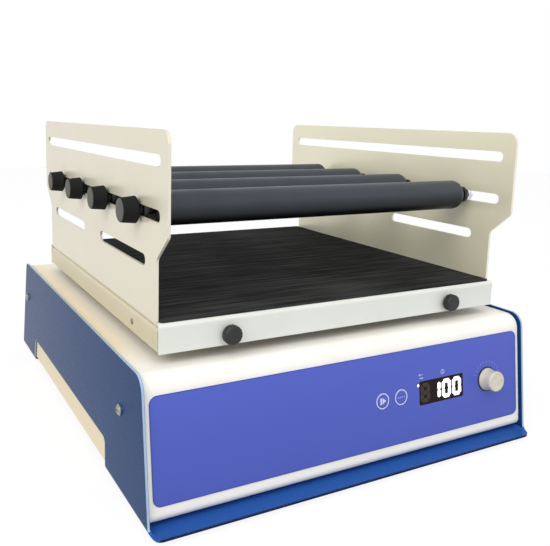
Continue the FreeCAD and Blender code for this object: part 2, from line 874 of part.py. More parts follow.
def drive_deck():
    corners = [Vector(-deck_half_x, deck_front_y, deck_z), Vector(deck_half_x, deck_front_y, deck_z),
               Vector(deck_half_x, deck_rear_y, deck_z), Vector(-deck_half_x, deck_rear_y, deck_z)]
    deck = prism(corners, [deck_corner] * 4, Z_AXIS * deck_thick)
    rows = [(0, drive_y, housing_radius), (motor_x, motor_y, motor_boss_radius)]
    rows += [(x, y, idler_housing_radius) for x, y in idler_places()]
    rows += [(x, y, deck_screw_radius) for x, y in pillar_places()]
    holes = [rod(radius, Vector(x, y, deck_z - cut_past), Z_AXIS, deck_thick + 2 * cut_past)
             for x, y, radius in rows]
    return deck.cut(group(holes))


def deck_pillars():
    pillar = rod(pillar_radius, Vector(0, 0, floor_top_z), Z_AXIS, deck_z - floor_top_z)
    return at_places(pillar, pillar_places())


def deck_screws():
    top = deck_top_z + deck_head_thick
    profile = [(0, deck_z), (deck_screw_radius, deck_z), (deck_screw_radius, deck_top_z),
               (deck_head_radius, deck_top_z), (deck_head_radius, top - deck_head_bevel),
               (deck_head_radius - deck_head_bevel, top), (0, top)]
    return at_places(turned(profile), pillar_places())


def main_housing():
    low = deck_top_z - housing_length
    top = deck_top_z + housing_flange
    bore = bearing_radius - housing_shoulder
    profile = [(bearing_radius, low), (housing_radius, low), (housing_radius, deck_top_z),
               (housing_flange_radius, deck_top_z), (housing_flange_radius, top), (bearing_radius, top),
               (bearing_radius, top - bearing_width), (bore, top - bearing_width),
               (bore, low + bearing_width), (bearing_radius, low + bearing_width)]
    return turned(profile, Vector(0, drive_y, 0))


def main_bearings():
    low = deck_top_z - housing_length
    top = deck_top_z + housing_flange
    inner = shaft_radius + running_gap
    return group([tube(bearing_radius, inner, Vector(0, drive_y, z), Z_AXIS, bearing_width)
                  for z in (low, top - bearing_width)])


def drive_shaft():
    # Shaft, crank disc and crank pin in one turned piece.
    shaft = rod(shaft_radius, Vector(0, drive_y, shaft_low_z), Z_AXIS, crank_z - shaft_low_z)
    disc = rod(crank_radius, Vector(0, drive_y, crank_z), Z_AXIS, crank_thick)
    pin = rod(pin_radius, Vector(0, platform_y, crank_z + crank_thick), Z_AXIS, pin_length)
    return shaft.fuse([disc, pin])


def driven_pulley():
    # Rim and hub joined by a thinner web half way up.
    hub = pulley_hub_radius
    inner = pulley_radius - pulley_rim
    top = pulley_z + pulley_width
    web_low = pulley_z + (pulley_width - pulley_web) / 2
    web_top = web_low + pulley_web
    profile = [(shaft_radius, pulley_z), (hub, pulley_z), (hub, web_low), (inner, web_low),
               (inner, pulley_z), (pulley_radius, pulley_z), (pulley_radius, top), (inner, top),
               (inner, web_top), (hub, web_top), (hub, top), (shaft_radius, top)]
    return turned(profile, Vector(0, drive_y, 0))


def counterweight():
    # Half ring on a collar round the shaft, across from the crank pin.
    z = pulley_z + pulley_width
    axis = Vector(0, drive_y, z)
    disc = tube(counterweight_radius, shaft_radius, axis, Z_AXIS, counterweight_thick)
    reach = counterweight_radius + cut_past
    front_half = block(-reach, reach, drive_y - reach, drive_y, z - cut_past,
                       z + counterweight_thick + cut_past)
    collar = tube(counterweight_collar, shaft_radius, axis, Z_AXIS, counterweight_thick)
    return disc.cut(front_half).fuse(collar)


def idler_housings():
    top = deck_top_z + idler_flange
    low = deck_top_z - idler_housing_length
    bore = idler_shaft_radius + idler_bush_wall
    profile = [(bore, low), (idler_housing_radius, low), (idler_housing_radius, deck_top_z),
               (idler_flange_radius, deck_top_z), (idler_flange_radius, top), (bore, top)]
    return at_places(turned(profile), idler_places())


def idler_bushes():
    seat = deck_top_z + idler_flange
    top = seat + idler_bush_rise
    low = deck_top_z - idler_housing_length
    bore = idler_shaft_radius + running_gap
    outer = idler_shaft_radius + idler_bush_wall
    profile = [(bore, low), (outer, low), (outer, seat), (outer + idler_bush_collar, seat),
               (outer + idler_bush_collar, top), (bore, top)]
    return at_places(turned(profile), idler_places())


def idler_crank(x, y):
    low = deck_top_z - idler_housing_length - idler_shaft_drop
    shaft = rod(idler_shaft_radius, Vector(x, y, low), Z_AXIS, crank_z - low)
    disc = rod(idler_crank_radius, Vector(x, y, crank_z), Z_AXIS, crank_thick)
    pin = rod(idler_pin_radius, Vector(x, y - orbit_radius, crank_z + crank_thick), Z_AXIS, pin_length)
    return shaft.fuse([disc, pin])


def motor():
    low = deck_z - motor_length
    well = low + motor_base
    bore = motor_shaft_radius + running_gap
    profile = [(0, low), (motor_radius - motor_chamfer, low), (motor_radius, low + motor_chamfer),
               (motor_radius, deck_z), (motor_boss_radius, deck_z), (motor_boss_radius, deck_top_z),
               (bore, deck_top_z), (bore, well), (0, well)]
    return turned(profile, Vector(motor_x, motor_y, 0))


def motor_shaft():
    low = deck_z - motor_length + motor_base + cut_past
    top = pulley_z + pulley_width + motor_shaft_spare
    return rod(motor_shaft_radius, Vector(motor_x, motor_y, low), Z_AXIS, top - low)


def motor_pulley():
    return tube(motor_pulley_radius, motor_shaft_radius, Vector(motor_x, motor_y, pulley_z), Z_AXIS,
                pulley_width)


def drive_belt():
    # Closed loop round both pulleys, a running gap clear of their rims.
    z = pulley_z + (pulley_width - belt_width) / 2
    outer = loop_prism(pulley_radius + belt_gap + belt_thick,
                       motor_pulley_radius + belt_gap + belt_thick, z)
    inner = loop_prism(pulley_radius + belt_gap, motor_pulley_radius + belt_gap, z)
    return outer.cut(inner)


def loop_prism(big, small, z):
    # Two circles on the pulley centres joined by their outer tangents.
    span = math.hypot(motor_x, motor_y - drive_y)
    along = math.atan2(motor_y - drive_y, motor_x)
    spread = math.acos((big - small) / span)

    def at(cx, cy, radius, angle):
        return Vector(cx + radius * math.cos(angle), cy + radius * math.sin(angle), z)

    big_a = at(0, drive_y, big, along + spread)
    big_b = at(0, drive_y, big, along - spread)
    small_a = at(motor_x, motor_y, small, along + spread)
    small_b = at(motor_x, motor_y, small, along - spread)
    edges = [Part.Arc(big_a, at(0, drive_y, big, along + math.pi), big_b).toShape(),
             Part.LineSegment(big_b, small_b).toShape(),
             Part.Arc(small_b, at(motor_x, motor_y, small, along), small_a).toShape(),
             Part.LineSegment(small_a, big_a).toShape()]
    return Part.Face(Part.Wire(edges)).extrude(Z_AXIS * belt_width)


def power_supply():
    # Enclosed supply standing on the floor of the pan, with vents across its lid.
    half_x, half_y = supply_length / 2, supply_width / 2
    top = floor_top_z + supply_height
    case = block(-half_x, half_x, -half_y, half_y, floor_top_z, top)
    vent = block(vent_margin - half_x, half_x - vent_margin, -vent_width / 2, vent_width / 2,
                 top - vent_depth, top + cut_past)
    first = -(vent_count - 1) * vent_pitch / 2
    places = [(0, first + vent_pitch * row) for row in range(vent_count)]
    return at_places(case.cut(at_places(vent, places)), [(supply_x, supply_y)])


# Platform and carrier tray

def platform_outline(half_x, half_y, z):
    return [Vector(-half_x, platform_y - half_y, z), Vector(half_x, platform_y - half_y, z),
            Vector(half_x, platform_y + half_y, z), Vector(-half_x, platform_y + half_y, z)]


def folded_strip(y0, y1, z_low, z_top, x_in, x_out, sheet, bend):
    # L-shaped fold: a flat part from x_in out to a flange that hangs down at x_out.
    outline = [Vector(x_in, y0, z_top), Vector(x_out, y0, z_top), Vector(x_out, y0, z_low),
               Vector(x_out - sheet, y0, z_low), Vector(x_out - sheet, y0, z_top - sheet),
               Vector(x_in, y0, z_top - sheet)]
    return prism(outline, [0, bend, 0, 0, bend - sheet, 0], Vector(0, y1 - y0, 0))


def platform_pan():
    # Flat deck with a flange folded down on each of its four sides.
    half_y = platform_half_y - tray_sheet - seat_gap
    flat_x, flat_y = platform_half_x - fold_reach, half_y - fold_reach
    low = tray_low_z + pan_flange_rise
    top = block(-platform_half_x + platform_bend, platform_half_x - platform_bend, platform_y - flat_y,
                platform_y + flat_y, pan_under_z, pan_top_z)
    side = folded_strip(platform_y - half_y + cut_past, platform_y + half_y - cut_past, low, pan_top_z,
                        flat_x, platform_half_x, platform_sheet, platform_bend)
    end = folded_strip(-flat_x, flat_x, low, pan_top_z, flat_y, half_y, platform_sheet, platform_bend)
    ends = [placed_end(end, turn) for turn in (-90, 90)]
    pan = top.fuse([side, mirrored(side)] + ends).removeSplitter()
    rivet_hole = rod(rivet_radius, Vector(-platform_half_x - cut_past, rivet_y, rivet_z), X_AXIS,
                     2 * (platform_half_x + cut_past))
    return pan.cut(group(thumb_holes() + [rivet_hole]))


def placed_end(end, turn):
    # A strip drawn along +X, turned about the middle of the platform to its front or rear.
    piece = end.copy()
    piece.Placement = FreeCAD.Placement(Vector(0, platform_y, 0), Rotation(Z_AXIS, turn))
    return piece


def thumb_holes():
    depth = tray_sheet + seat_gap + platform_sheet + 2 * cut_past
    return [rod(thumb_shank_radius + seat_gap, Vector(x, tray_front_y - cut_past, thumb_z), Y_AXIS, depth)
            for x in thumb_x]


def flange_rivets():
    flange = rivet_radius + rivet_flange
    tail = -platform_sheet - rivet_tail
    profile = [(0, tail), (flange, tail), (flange, -platform_sheet), (rivet_radius, -platform_sheet),
               (rivet_radius, 0), (flange, 0), (flange * 0.8, rivet_head * 0.7), (0, rivet_head)]
    return group([turned(profile, Vector(side * platform_half_x, rivet_y, rivet_z), X_AXIS * side)
                  for side in (-1, 1)])


def platform_hubs():
    # Flanged hubs under the pan, each with a seat for its bearing.
    flange_low = pan_under_z - hub_flange_thick
    seat_top = hub_low_z + bearing_rise + platform_bearing_width
    hubs = []
    for x, y, radius, seat in hub_rows():
        profile = [(seat, hub_low_z), (radius, hub_low_z), (radius, flange_low),
                   (radius + hub_flange, flange_low), (radius + hub_flange, pan_under_z),
                   (seat - hub_lip, pan_under_z), (seat - hub_lip, seat_top), (seat, seat_top)]
        hubs.append(turned(profile, Vector(x, y, 0)))
    return group(hubs)


def hub_rows():
    # Centre, outer radius and bearing seat radius of each hub under the pan.
    rows = [(0, platform_y, hub_radius, pin_radius + pin_bearing_wall)]
    for x, y in idler_places():
        rows.append((x, y - orbit_radius, hub_radius - hub_step, idler_pin_radius + idler_bearing_wall))
    return rows


def platform_bearings():
    # The idler pins have more clearance than the crank pin, which leads the platform.
    bores = [pin_radius + running_gap] + [idler_pin_radius + seat_gap] * len(idler_angles)
    low = hub_low_z + bearing_rise
    return group([tube(seat, bore, Vector(x, y, low), Z_AXIS, platform_bearing_width)
                  for (x, y, _, seat), bore in zip(hub_rows(), bores)])


def carrier_tray():
    # Deck plate with a flange folded down at the front and the back, notched round the side plates.
    inner_x = platform_half_x - platform_bend
    flat_y = platform_half_y - fold_reach
    plate = block(-inner_x, inner_x, platform_y - flat_y, platform_y + flat_y,
                  tray_top_z - tray_sheet, tray_top_z)
    end = folded_strip(-platform_half_x, platform_half_x, tray_low_z, tray_top_z, flat_y,
                       platform_half_y, tray_sheet, platform_bend)
    notch = block(flat_y - cut_past, plate_low_half_y + cut_past, inner_x, platform_half_x + cut_past,
                  plate_foot_z, tray_top_z + cut_past)
    end = end.cut(group([notch, notch.mirror(Vector(0, 0, 0), Y_AXIS)]))
    tray = plate.fuse([placed_end(end, turn) for turn in (-90, 90)]).removeSplitter()
    return tray.cut(group(thumb_holes() + [tray_rivets()]))


def tray_rivet_places():
    x = platform_half_x - tray_rivet_inset_x
    half_y = plate_low_half_y - tray_rivet_margin
    pitch = 2 * half_y / (tray_rivet_count - 1)
    return [(side * x, platform_y - half_y + pitch * row)
            for side in (-1, 1) for row in range(tray_rivet_count)]


def tray_rivets():
    # Countersunk rivets through the tray and the foot of each side plate, flush with the tray.
    radius = tray_rivet_radius
    profile = [(0, plate_foot_z), (radius, plate_foot_z), (radius, tray_top_z - tray_rivet_flare),
               (radius + tray_rivet_flare, tray_top_z), (0, tray_top_z)]
    return at_places(turned(profile), tray_rivet_places())


def side_plate():
    # Upright of the left side, seen from the left, with its foot turned in under the tray.
    x_out = -platform_half_x
    x_in = x_out + plate_sheet
    bend_z = plate_foot_z + platform_bend
    low_y, high_y = plate_low_half_y, plate_high_half_y
    half = [(low_y, bend_z, 0), (low_y, plate_step_low_z, plate_step_radius),
            (high_y, plate_step_high_z, plate_step_radius), (high_y, plate_top_z, plate_top_radius)]
    rows = half + [(-y, z, radius) for y, z, radius in reversed(half)]
    upright = side_prism([(platform_y + y, z) for y, z, _ in rows], [row[2] for row in rows], x_out, x_in)
    foot = [Vector(x_out, 0, bend_z), Vector(x_out, 0, plate_foot_z),
            Vector(x_out + plate_foot, 0, plate_foot_z),
            Vector(x_out + plate_foot, 0, plate_foot_z + plate_sheet),
            Vector(x_in, 0, plate_foot_z + plate_sheet), Vector(x_in, 0, bend_z)]
    foot = prism(foot, [0, platform_bend, 0, 0, platform_bend - plate_sheet, 0], Y_AXIS * 2 * low_y)
    foot.translate(Vector(0, platform_y - low_y, 0))
    plate = upright.fuse(foot).removeSplitter()
    spans = [(-top_slot_half_y, top_slot_half_y, top_slot_z),
             (-bar_slot_half_y, bar_slot_half_y, bar_slot_z),
             (low_slot_near_y, low_slot_far_y, low_slot_z),
             (-low_slot_far_y, -low_slot_near_y, low_slot_z)]
    cutters = [slot_cutter(platform_y + y0, platform_y + y1, z, slot_width, x_out - cut_past,
                           x_in + cut_past) for y0, y1, z in spans]
    return plate.cut(group(cutters + [tray_rivets()]))


def rubber_mat():
    half_x = platform_half_x - plate_sheet - mat_side_gap
    half_y = platform_half_y - mat_inset
    return prism(platform_outline(half_x, half_y, tray_top_z), [mat_corner] * 4, Z_AXIS * mat_thick)


# Bars and their clamps

def bar_rod(place):
    # Steel rod with a shoulder against each side plate and a nut outside the right one.
    y = platform_y + place
    inner = platform_half_x - plate_sheet - seat_gap
    outer = platform_half_x + seat_gap
    left_end = outer + clamp_length - clamp_wall
    body = rod(rod_radius, Vector(-left_end, y, bar_slot_z), X_AXIS, left_end + outer + nut_thick + rod_spare)
    shoulders = [rod(collar_radius, Vector(x, y, bar_slot_z), X_AXIS, collar_thick)
                 for x in (-inner, inner - collar_thick)]
    angles = [math.radians(60 * corner) for corner in range(6)]
    hexagon = [Vector(outer, y + nut_radius * math.cos(a), bar_slot_z + nut_radius * math.sin(a))
               for a in angles]
    nut = prism(hexagon, [0] * 6, X_AXIS * nut_thick)
    return body.fuse(shoulders + [nut])


def bar_sleeve(place):
    # Rubber tube with well rounded ends.
    half = platform_half_x - plate_sheet - sleeve_end_gap
    start = Vector(-half, platform_y + place, bar_slot_z)
    core = rod(sleeve_radius, start, X_AXIS, 2 * half)
    rims = [edge for edge in core.Edges if edge.Closed]
    core = core.makeFillet(sleeve_round, rims)
    return core.cut(rod(rod_radius, start, X_AXIS, 2 * half))


def clamp_knob(place):
    # Tapered knob: a neck at the plate, a broad shoulder, then a slow taper to the face.
    bore = rod_radius + running_gap
    depth = clamp_length - clamp_wall + seat_gap
    profile = [(bore, 0), (clamp_neck_radius, 0), (clamp_neck_radius, clamp_neck_length),
               (clamp_radius - clamp_shoulder, clamp_neck_length),
               (clamp_radius, clamp_neck_length + clamp_shoulder),
               (clamp_face_radius + 0.3, clamp_length - 0.8),
               (clamp_face_radius - 0.5, clamp_length), (0, clamp_length), (0, depth), (bore, depth)]
    start = Vector(-platform_half_x - seat_gap, platform_y + place, bar_slot_z)
    return turned(profile, start, -X_AXIS)


def thumb_screw(x):
    # Ribbed head with a shank through the tray flange and the pan flange.
    low = seat_gap
    neck_top = low + thumb_neck_length
    tip = -tray_sheet - seat_gap - platform_sheet - thumb_shank_spare
    profile = [(0, tip), (thumb_shank_radius, tip), (thumb_shank_radius, low), (thumb_neck_radius, low),
               (thumb_neck_radius, neck_top), (thumb_radius - 0.6, neck_top + 0.6),
               (thumb_radius, neck_top + 1.4), (thumb_radius, thumb_length - 1.2),
               (thumb_radius - 1, thumb_length - 0.2), (thumb_radius - 2.4, thumb_length),
               (0, thumb_length)]
    groove = rod(thumb_groove_radius, Vector(thumb_radius + thumb_groove_out, 0, neck_top), Z_AXIS,
                 thumb_length)
    grooves = []
    for rib in range(thumb_ribs):
        cutter = groove.copy()
        cutter.rotate(Vector(0, 0, 0), Z_AXIS, rib * 360 / thumb_ribs)
        grooves.append(cutter)
    screw = turned(profile).cut(group(grooves))
    screw.Placement = FreeCAD.Placement(Vector(x, tray_front_y, thumb_z), Rotation(Z_AXIS, -Y_AXIS))
    return screw


def thumb_nuts():
    # Nuts pressed into the pan's front flange behind the thumb screws.
    y = tray_front_y + tray_sheet + seat_gap + platform_sheet
    return group([tube(thumb_nut_radius, thumb_shank_radius + running_gap, Vector(x, y, thumb_z), Y_AXIS,
                       thumb_nut_thick) for x in thumb_x])


def build():
    os.makedirs("parts", exist_ok=True)
    save("base_pan", base_pan())
    save("top_cover", top_cover())
    save("rear_panel", rear_panel())
    save("casing_screws", group([cheek_screws(), rear_panel_screws()]))
    save("rubber_feet", rubber_feet())
    save("foot_screws", foot_screws())
    save("control_overlay", control_overlay())
    save("display_window", display_window())
    save("display_module", display_module())
    save("start_key", membrane_key(key_x[0]))
    save("mode_key", membrane_key(key_x[1]))
    save("encoder", encoder())
    save("encoder_shaft", encoder_shaft())
    save("speed_knob", speed_knob())
    save("control_board", group([control_board(), key_switches()]))
    save("board_spacers", board_spacers())
    save("mains_inlet", mains_inlet())
    save("switch_housing", switch_housing())
    save("power_rocker", power_rocker())
    save("drive_deck", drive_deck())
    save("deck_pillars", group([deck_pillars(), deck_screws()]))
    save("main_bearing_housing", main_housing())
    save("main_bearings", main_bearings())
    save("drive_shaft", drive_shaft())
    save("driven_pulley", driven_pulley())
    save("counterweight", counterweight())
    save("idler_housings", idler_housings())
    save("idler_bushes", idler_bushes())
    for number, (x, y) in enumerate(idler_places(), 1):
        save("idler_crank_%d" % number, idler_crank(x, y))
    save("motor", motor())
    save("motor_shaft", motor_shaft())
    save("motor_pulley", motor_pulley())
    save("drive_belt", drive_belt())
    save("power_supply", power_supply())
    save("platform_pan", platform_pan())
    save("platform_hubs", platform_hubs())
    save("platform_bearings", platform_bearings())
    save("flange_inserts", group([flange_rivets(), thumb_nuts()]))
    save("carrier_tray", carrier_tray())
    save("tray_rivets", tray_rivets())
    save("left_side_plate", side_plate())
    save("right_side_plate", mirrored(side_plate()))
    save("rubber_mat", rubber_mat())
    for number, place in enumerate(bar_places, 1):
        save("bar_rod_%d" % number, bar_rod(place))
        save("bar_sleeve_%d" % number, bar_sleeve(place))
        save("clamp_knob_%d" % number, clamp_knob(place))
    for number, x in enumerate(thumb_x, 1):
        save("thumb_screw_%d" % number, thumb_screw(x))


build()
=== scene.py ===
import math

import bmesh
import bpy
from mathutils import Matrix, Vector


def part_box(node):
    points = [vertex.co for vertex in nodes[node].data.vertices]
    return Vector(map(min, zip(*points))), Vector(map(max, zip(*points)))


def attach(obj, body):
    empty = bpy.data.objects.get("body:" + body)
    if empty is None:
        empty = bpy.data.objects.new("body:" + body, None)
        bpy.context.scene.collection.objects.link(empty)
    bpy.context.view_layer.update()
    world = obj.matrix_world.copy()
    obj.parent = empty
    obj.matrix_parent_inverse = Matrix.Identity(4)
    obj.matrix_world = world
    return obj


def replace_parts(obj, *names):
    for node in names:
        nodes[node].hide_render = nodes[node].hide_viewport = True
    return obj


# Looks for a benchtop shaker with a slotted carrier.
# Everything is in metres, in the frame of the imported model: +X right, +Y back, +Z up.

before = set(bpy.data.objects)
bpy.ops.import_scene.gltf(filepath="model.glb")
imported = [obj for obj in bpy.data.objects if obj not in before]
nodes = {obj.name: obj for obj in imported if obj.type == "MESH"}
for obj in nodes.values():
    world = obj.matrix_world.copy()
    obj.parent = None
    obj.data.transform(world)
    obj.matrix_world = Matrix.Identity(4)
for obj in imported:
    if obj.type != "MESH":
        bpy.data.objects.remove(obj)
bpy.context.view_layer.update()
print("frame loaded with", len(nodes), "nodes")

mm = 0.001


def paint(red, green, blue):
    # Screen colour from 0 to 255, as the linear colour that sockets take
    linear = []
    for part in (red, green, blue):
        share = part / 255
        linear.append(share / 12.92 if share <= 0.04045 else ((share + 0.055) / 1.055) ** 2.4)
    return (*linear, 1.0)


class Wire:
    # One output socket: arithmetic on it adds Math nodes to its graph
    def __init__(self, graph, socket):
        self.graph = graph
        self.socket = socket

    def maths(self, operation, first, second=0.0):
        return self.graph.node("Math", {"operation": operation}, {0: first, 1: second})

    def __add__(self, other):
        return self.maths("ADD", self, other)

    def __radd__(self, other):
        return self.maths("ADD", other, self)

    def __sub__(self, other):
        return self.maths("SUBTRACT", self, other)

    def __rsub__(self, other):
        return self.maths("SUBTRACT", other, self)

    def __mul__(self, other):
        return self.maths("MULTIPLY", self, other)

    def __rmul__(self, other):
        return self.maths("MULTIPLY", other, self)

    def __gt__(self, other):
        return self.maths("GREATER_THAN", self, other)

    def __lt__(self, other):
        return self.maths("LESS_THAN", self, other)

    def __abs__(self):
        return self.maths("ABSOLUTE", self)


class Graph:
    # A node tree under construction
    def __init__(self, tree):
        self.tree = tree

    def node(self, kind, settings=None, inputs=None, output=0):
        # Settings come first, then values or wires for its sockets, by name or number
        made = self.tree.nodes.new("ShaderNode" + kind)
        for key, value in (settings or {}).items():
            setattr(made, key, value)
        for key, value in (inputs or {}).items():
            self.plug(made.inputs[key], value)
        return Wire(self, made.outputs[output]) if made.outputs else made

    def plug(self, socket, value):
        if isinstance(value, Wire):
            self.tree.links.new(value.socket, socket)
        else:
            socket.default_value = value

    def seen(self):
        # 1 for what the camera sees, itself or in metal and glass
        rays = [self.node("LightPath", output=name)
                for name in ("Is Camera Ray", "Is Glossy Ray", "Is Transmission Ray")]
        return rays[0] + rays[1] + rays[2]


class Finish(Graph):
    # A material round one Principled shader, with short names for common nodes
    def __init__(self, name, **fixed):
        self.material = bpy.data.materials.new(name)
        self.material.use_nodes = True
        super().__init__(self.material.node_tree)
        self.surface = self.tree.nodes["Principled BSDF"]
        for socket, value in fixed.items():
            self.surface.inputs[socket.replace("_", " ")].default_value = value

    def feed(self, **links):
        # Fills the shader's sockets and hands back the material
        for socket, value in links.items():
            self.plug(self.surface.inputs[socket.replace("_", " ")], value)
        return self.material

    def place(self):
        # Position in the object's own metres
        return self.node("TexCoord", output=3)

    def axes(self):
        split = self.node("SeparateXYZ", inputs={0: self.place()})
        return [Wire(self, output) for output in split.socket.node.outputs]

    def noise(self, size, detail=2.0, rough=0.5, stretch=(1, 1, 1)):
        # Grain whose features are about size metres across
        scaled = self.node("Mapping", inputs={"Vector": self.place(), "Scale": stretch})
        return self.node("TexNoise", inputs={"Vector": scaled, "Scale": 1 / size, "Detail": detail,
                                             "Roughness": rough})

    def pores(self, size):
        return self.node("TexVoronoi", inputs={"Vector": self.place(), "Scale": 1 / size})

    def ramp(self, value, low, high):
        # 0 below low and 1 above high
        return self.node("MapRange", inputs={"Value": value, "From Min": low, "From Max": high})

    def tint(self, factor, first, second):
        return self.node("Mix", {"data_type": "RGBA"}, {0: factor, 6: first, 7: second}, output=2)

    def bump(self, height, depth, under=None):
        # Relief of depth metres where height goes from 0 to 1
        inputs = {"Height": height, "Distance": depth, "Strength": 1.0}
        if under:
            inputs["Normal"] = under
        return self.node("Bump", inputs=inputs)

    def softEdges(self, radius):
        return self.node("Bevel", {"samples": 4}, {"Radius": radius})

    def edgeWearAndHighlight(self, rounded):
        # 0 on flats and 1 along edges, from how far the rounded normal leans from the true one
        true = self.node("NewGeometry", output=1)
        lean = self.node("VectorMath", {"operation": "DOT_PRODUCT"}, {0: rounded, 1: true}, output=1)
        return self.ramp(lean, 0.99, 0.86)


coat = {
    "grain": 1.1 * mm,  # size of the orange peel
    "relief": 0.012 * mm,
    "speck": 0.35 * mm,
    "dust": 60 * mm,
    "hands": 9 * mm,
    "edge": 0.5 * mm,
    "wornHighlight": 0.6,  # share of the paler tone along edges, partly wear and partly painted highlight
    "pale": 0.45,  # how far that tone goes towards white
}


def coatedSheet(name, colour, shade, roughness, gloss=0.0, relief=1.0, sheen=0.5, zones=None):
    # Powder coat on folded sheet: orange peel, a slow change of tone, faint handling marks, and paler edges
    # that are partly wear and partly painted highlight
    finish = Finish(name, Coat_Roughness=0.25, Specular_IOR_Level=sheen)
    peel = finish.noise(coat["grain"], 2.0, 0.45)
    speck = finish.noise(coat["speck"], 1.0)
    cloud = finish.noise(coat["dust"], 3.0, 0.6)
    marks = finish.ramp(finish.noise(coat["hands"], 4.0, 0.65), 0.62, 0.78)
    tone = finish.tint(finish.ramp(cloud, 0.35, 0.7) * 0.6 + finish.ramp(speck, 0.3, 0.8) * 0.2,
                       paint(*colour), paint(*shade))
    if zones:
        tone = zones(finish, tone)
    edges = finish.softEdges(coat["edge"])
    # Edges painted paler: partly worn, partly a painted highlight
    wornAndHighlit = finish.edgeWearAndHighlight(edges) * coat["wornHighlight"]
    tone = finish.tint(wornAndHighlit, tone, paint(*[c + (255 - c) * coat["pale"] for c in colour]))
    normal = finish.bump(peel, coat["relief"] * relief, edges)
    return finish.feed(Base_Color=tone, Normal=normal, Coat_Weight=gloss,
                       Roughness=roughness + 0.08 * peel + 0.10 * marks - 0.12 * wornAndHighlit)


plate = {
    # The right plate is painted lighter than the left, as painted light against the shade on its inner face
    "leftTone": (228, 223, 205),
    "rightTone": (245, 242, 218),
    "shade": 0.94,  # of either tone, in its darker clouds
    "cut": (246, 246, 242),  # the brighter cut edge: bare metal, and a painted highlight
    "edge": 0.35 * mm,
    "metallic": 0.3,
    "grain": 0.22 * mm,  # across the rolling marks, which run front to back
    "relief": 0.02 * mm,
    "cloud": 70 * mm,
    "hands": 11 * mm,
}


def satinPlate(name, colour):
    # Lacquered satin sheet with rolling marks along Y and faint hand marks
    finish = Finish(name, Metallic=plate["metallic"])
    rolled = finish.noise(plate["grain"], 2.0, 0.6, (1, 0.012, 1))
    cloud = finish.noise(plate["cloud"], 3.0, 0.6)
    hands = finish.ramp(finish.noise(plate["hands"], 4.0, 0.65), 0.6, 0.8)
    tone = finish.tint(cloud * 0.7 + rolled * 0.2, paint(*colour),
                       paint(*[c * plate["shade"] for c in colour]))
    edges = finish.softEdges(plate["edge"])
    cut = finish.edgeWearAndHighlight(edges)
    # Edges painted brighter: the bare cut, and a painted highlight along it
    tone = finish.tint(cut * 0.6, tone, paint(*plate["cut"]))
    return finish.feed(Base_Color=tone, Normal=finish.bump(rolled, plate["relief"], edges),
                       Roughness=0.27 + 0.08 * rolled + 0.08 * hands - 0.05 * cut)


bare = {
    "lines": 0.5 * mm,
    "relief": 0.006 * mm,
    "edge": 0.25 * mm,
    "stain": 14 * mm,
    "stained": 0.78,  # share of the tone left in a stain
    "drawnX": (0.03, 1, 1),  # stretches the lines along the axis that the metal is drawn on
    "drawnZ": (1, 1, 0.03),
}


def metal(name, colour, roughness, drawn=(1, 1, 1)):
    # Bare or plated metal
    finish = Finish(name, Metallic=1.0)
    lines = finish.noise(bare["lines"], 3.0, 0.6, drawn)
    stain = finish.noise(bare["stain"], 3.0, 0.6)
    tone = finish.tint(stain * 0.5, paint(*colour), paint(*[c * bare["stained"] for c in colour]))
    normal = finish.bump(lines, bare["relief"], finish.softEdges(bare["edge"]))
    return finish.feed(Base_Color=tone, Normal=normal, Roughness=roughness + 0.18 * lines)


moulded = {
    "edge": 0.3 * mm,
    "touch": 7 * mm,
}


def plastic(name, colour, roughness, grain=0.5 * mm, relief=0.01 * mm, sheen=0.45):
    # Moulded plastic: spark-eroded grain, slightly shinier where hands touch it
    finish = Finish(name, Specular_IOR_Level=sheen)
    spark = finish.noise(grain, 2.0, 0.5)
    worn = finish.ramp(finish.noise(moulded["touch"], 3.0, 0.6), 0.4, 0.75)
    tone = finish.tint(worn * 0.5, paint(*colour), paint(*[min(255, c * 1.12 + 4) for c in colour]))
    normal = finish.bump(spark, relief, finish.softEdges(moulded["edge"]))
    return finish.feed(Base_Color=tone, Normal=normal, Roughness=roughness + 0.12 * spark - 0.08 * worn)


matt = {
    "tone": (28, 28, 29),
    "bloomed": (43.8, 43.8, 45.15),
    "pore": 0.8 * mm,
    "relief": 0.02 * mm,
    "bloom": 22 * mm,
}


def mattRubber():
    # For the feet and the belt: closed pores and a trace of bloom
    finish = Finish("footRubber", Specular_IOR_Level=0.4)
    pores = finish.pores(matt["pore"])
    bloom = finish.ramp(finish.noise(matt["bloom"], 4.0, 0.6), 0.45, 0.8)
    tone = finish.tint(bloom * 0.6, paint(*matt["tone"]), paint(*matt["bloomed"]))
    return finish.feed(Base_Color=tone, Normal=finish.bump(pores, matt["relief"]),
                       Roughness=0.7 + 0.1 * bloom - 0.06 * pores)


pan = {
    "lip": -206.8 * mm,  # in front of this plane the lip is painted lighter, as painted light
    # in front of this plane the lip's front edge is painted dark, as painted shade
    "lipEdge": -214.4 * mm,
    "cheek": (178.2 * mm, 179.8 * mm),  # between these the cheeks' cut edges lie
    "edgeFoot": 5 * mm,  # the painted highlight on the cheek edges starts at this height
    "ledge": (177.5 * mm, -190 * mm, 9 * mm),  # half width, back and top of the lip's flat
    "paintedLitLip": (40, 86, 163),
    "dark": (14, 36, 78),
    "paintedEdgeHighlight": (168, 190, 218),
}


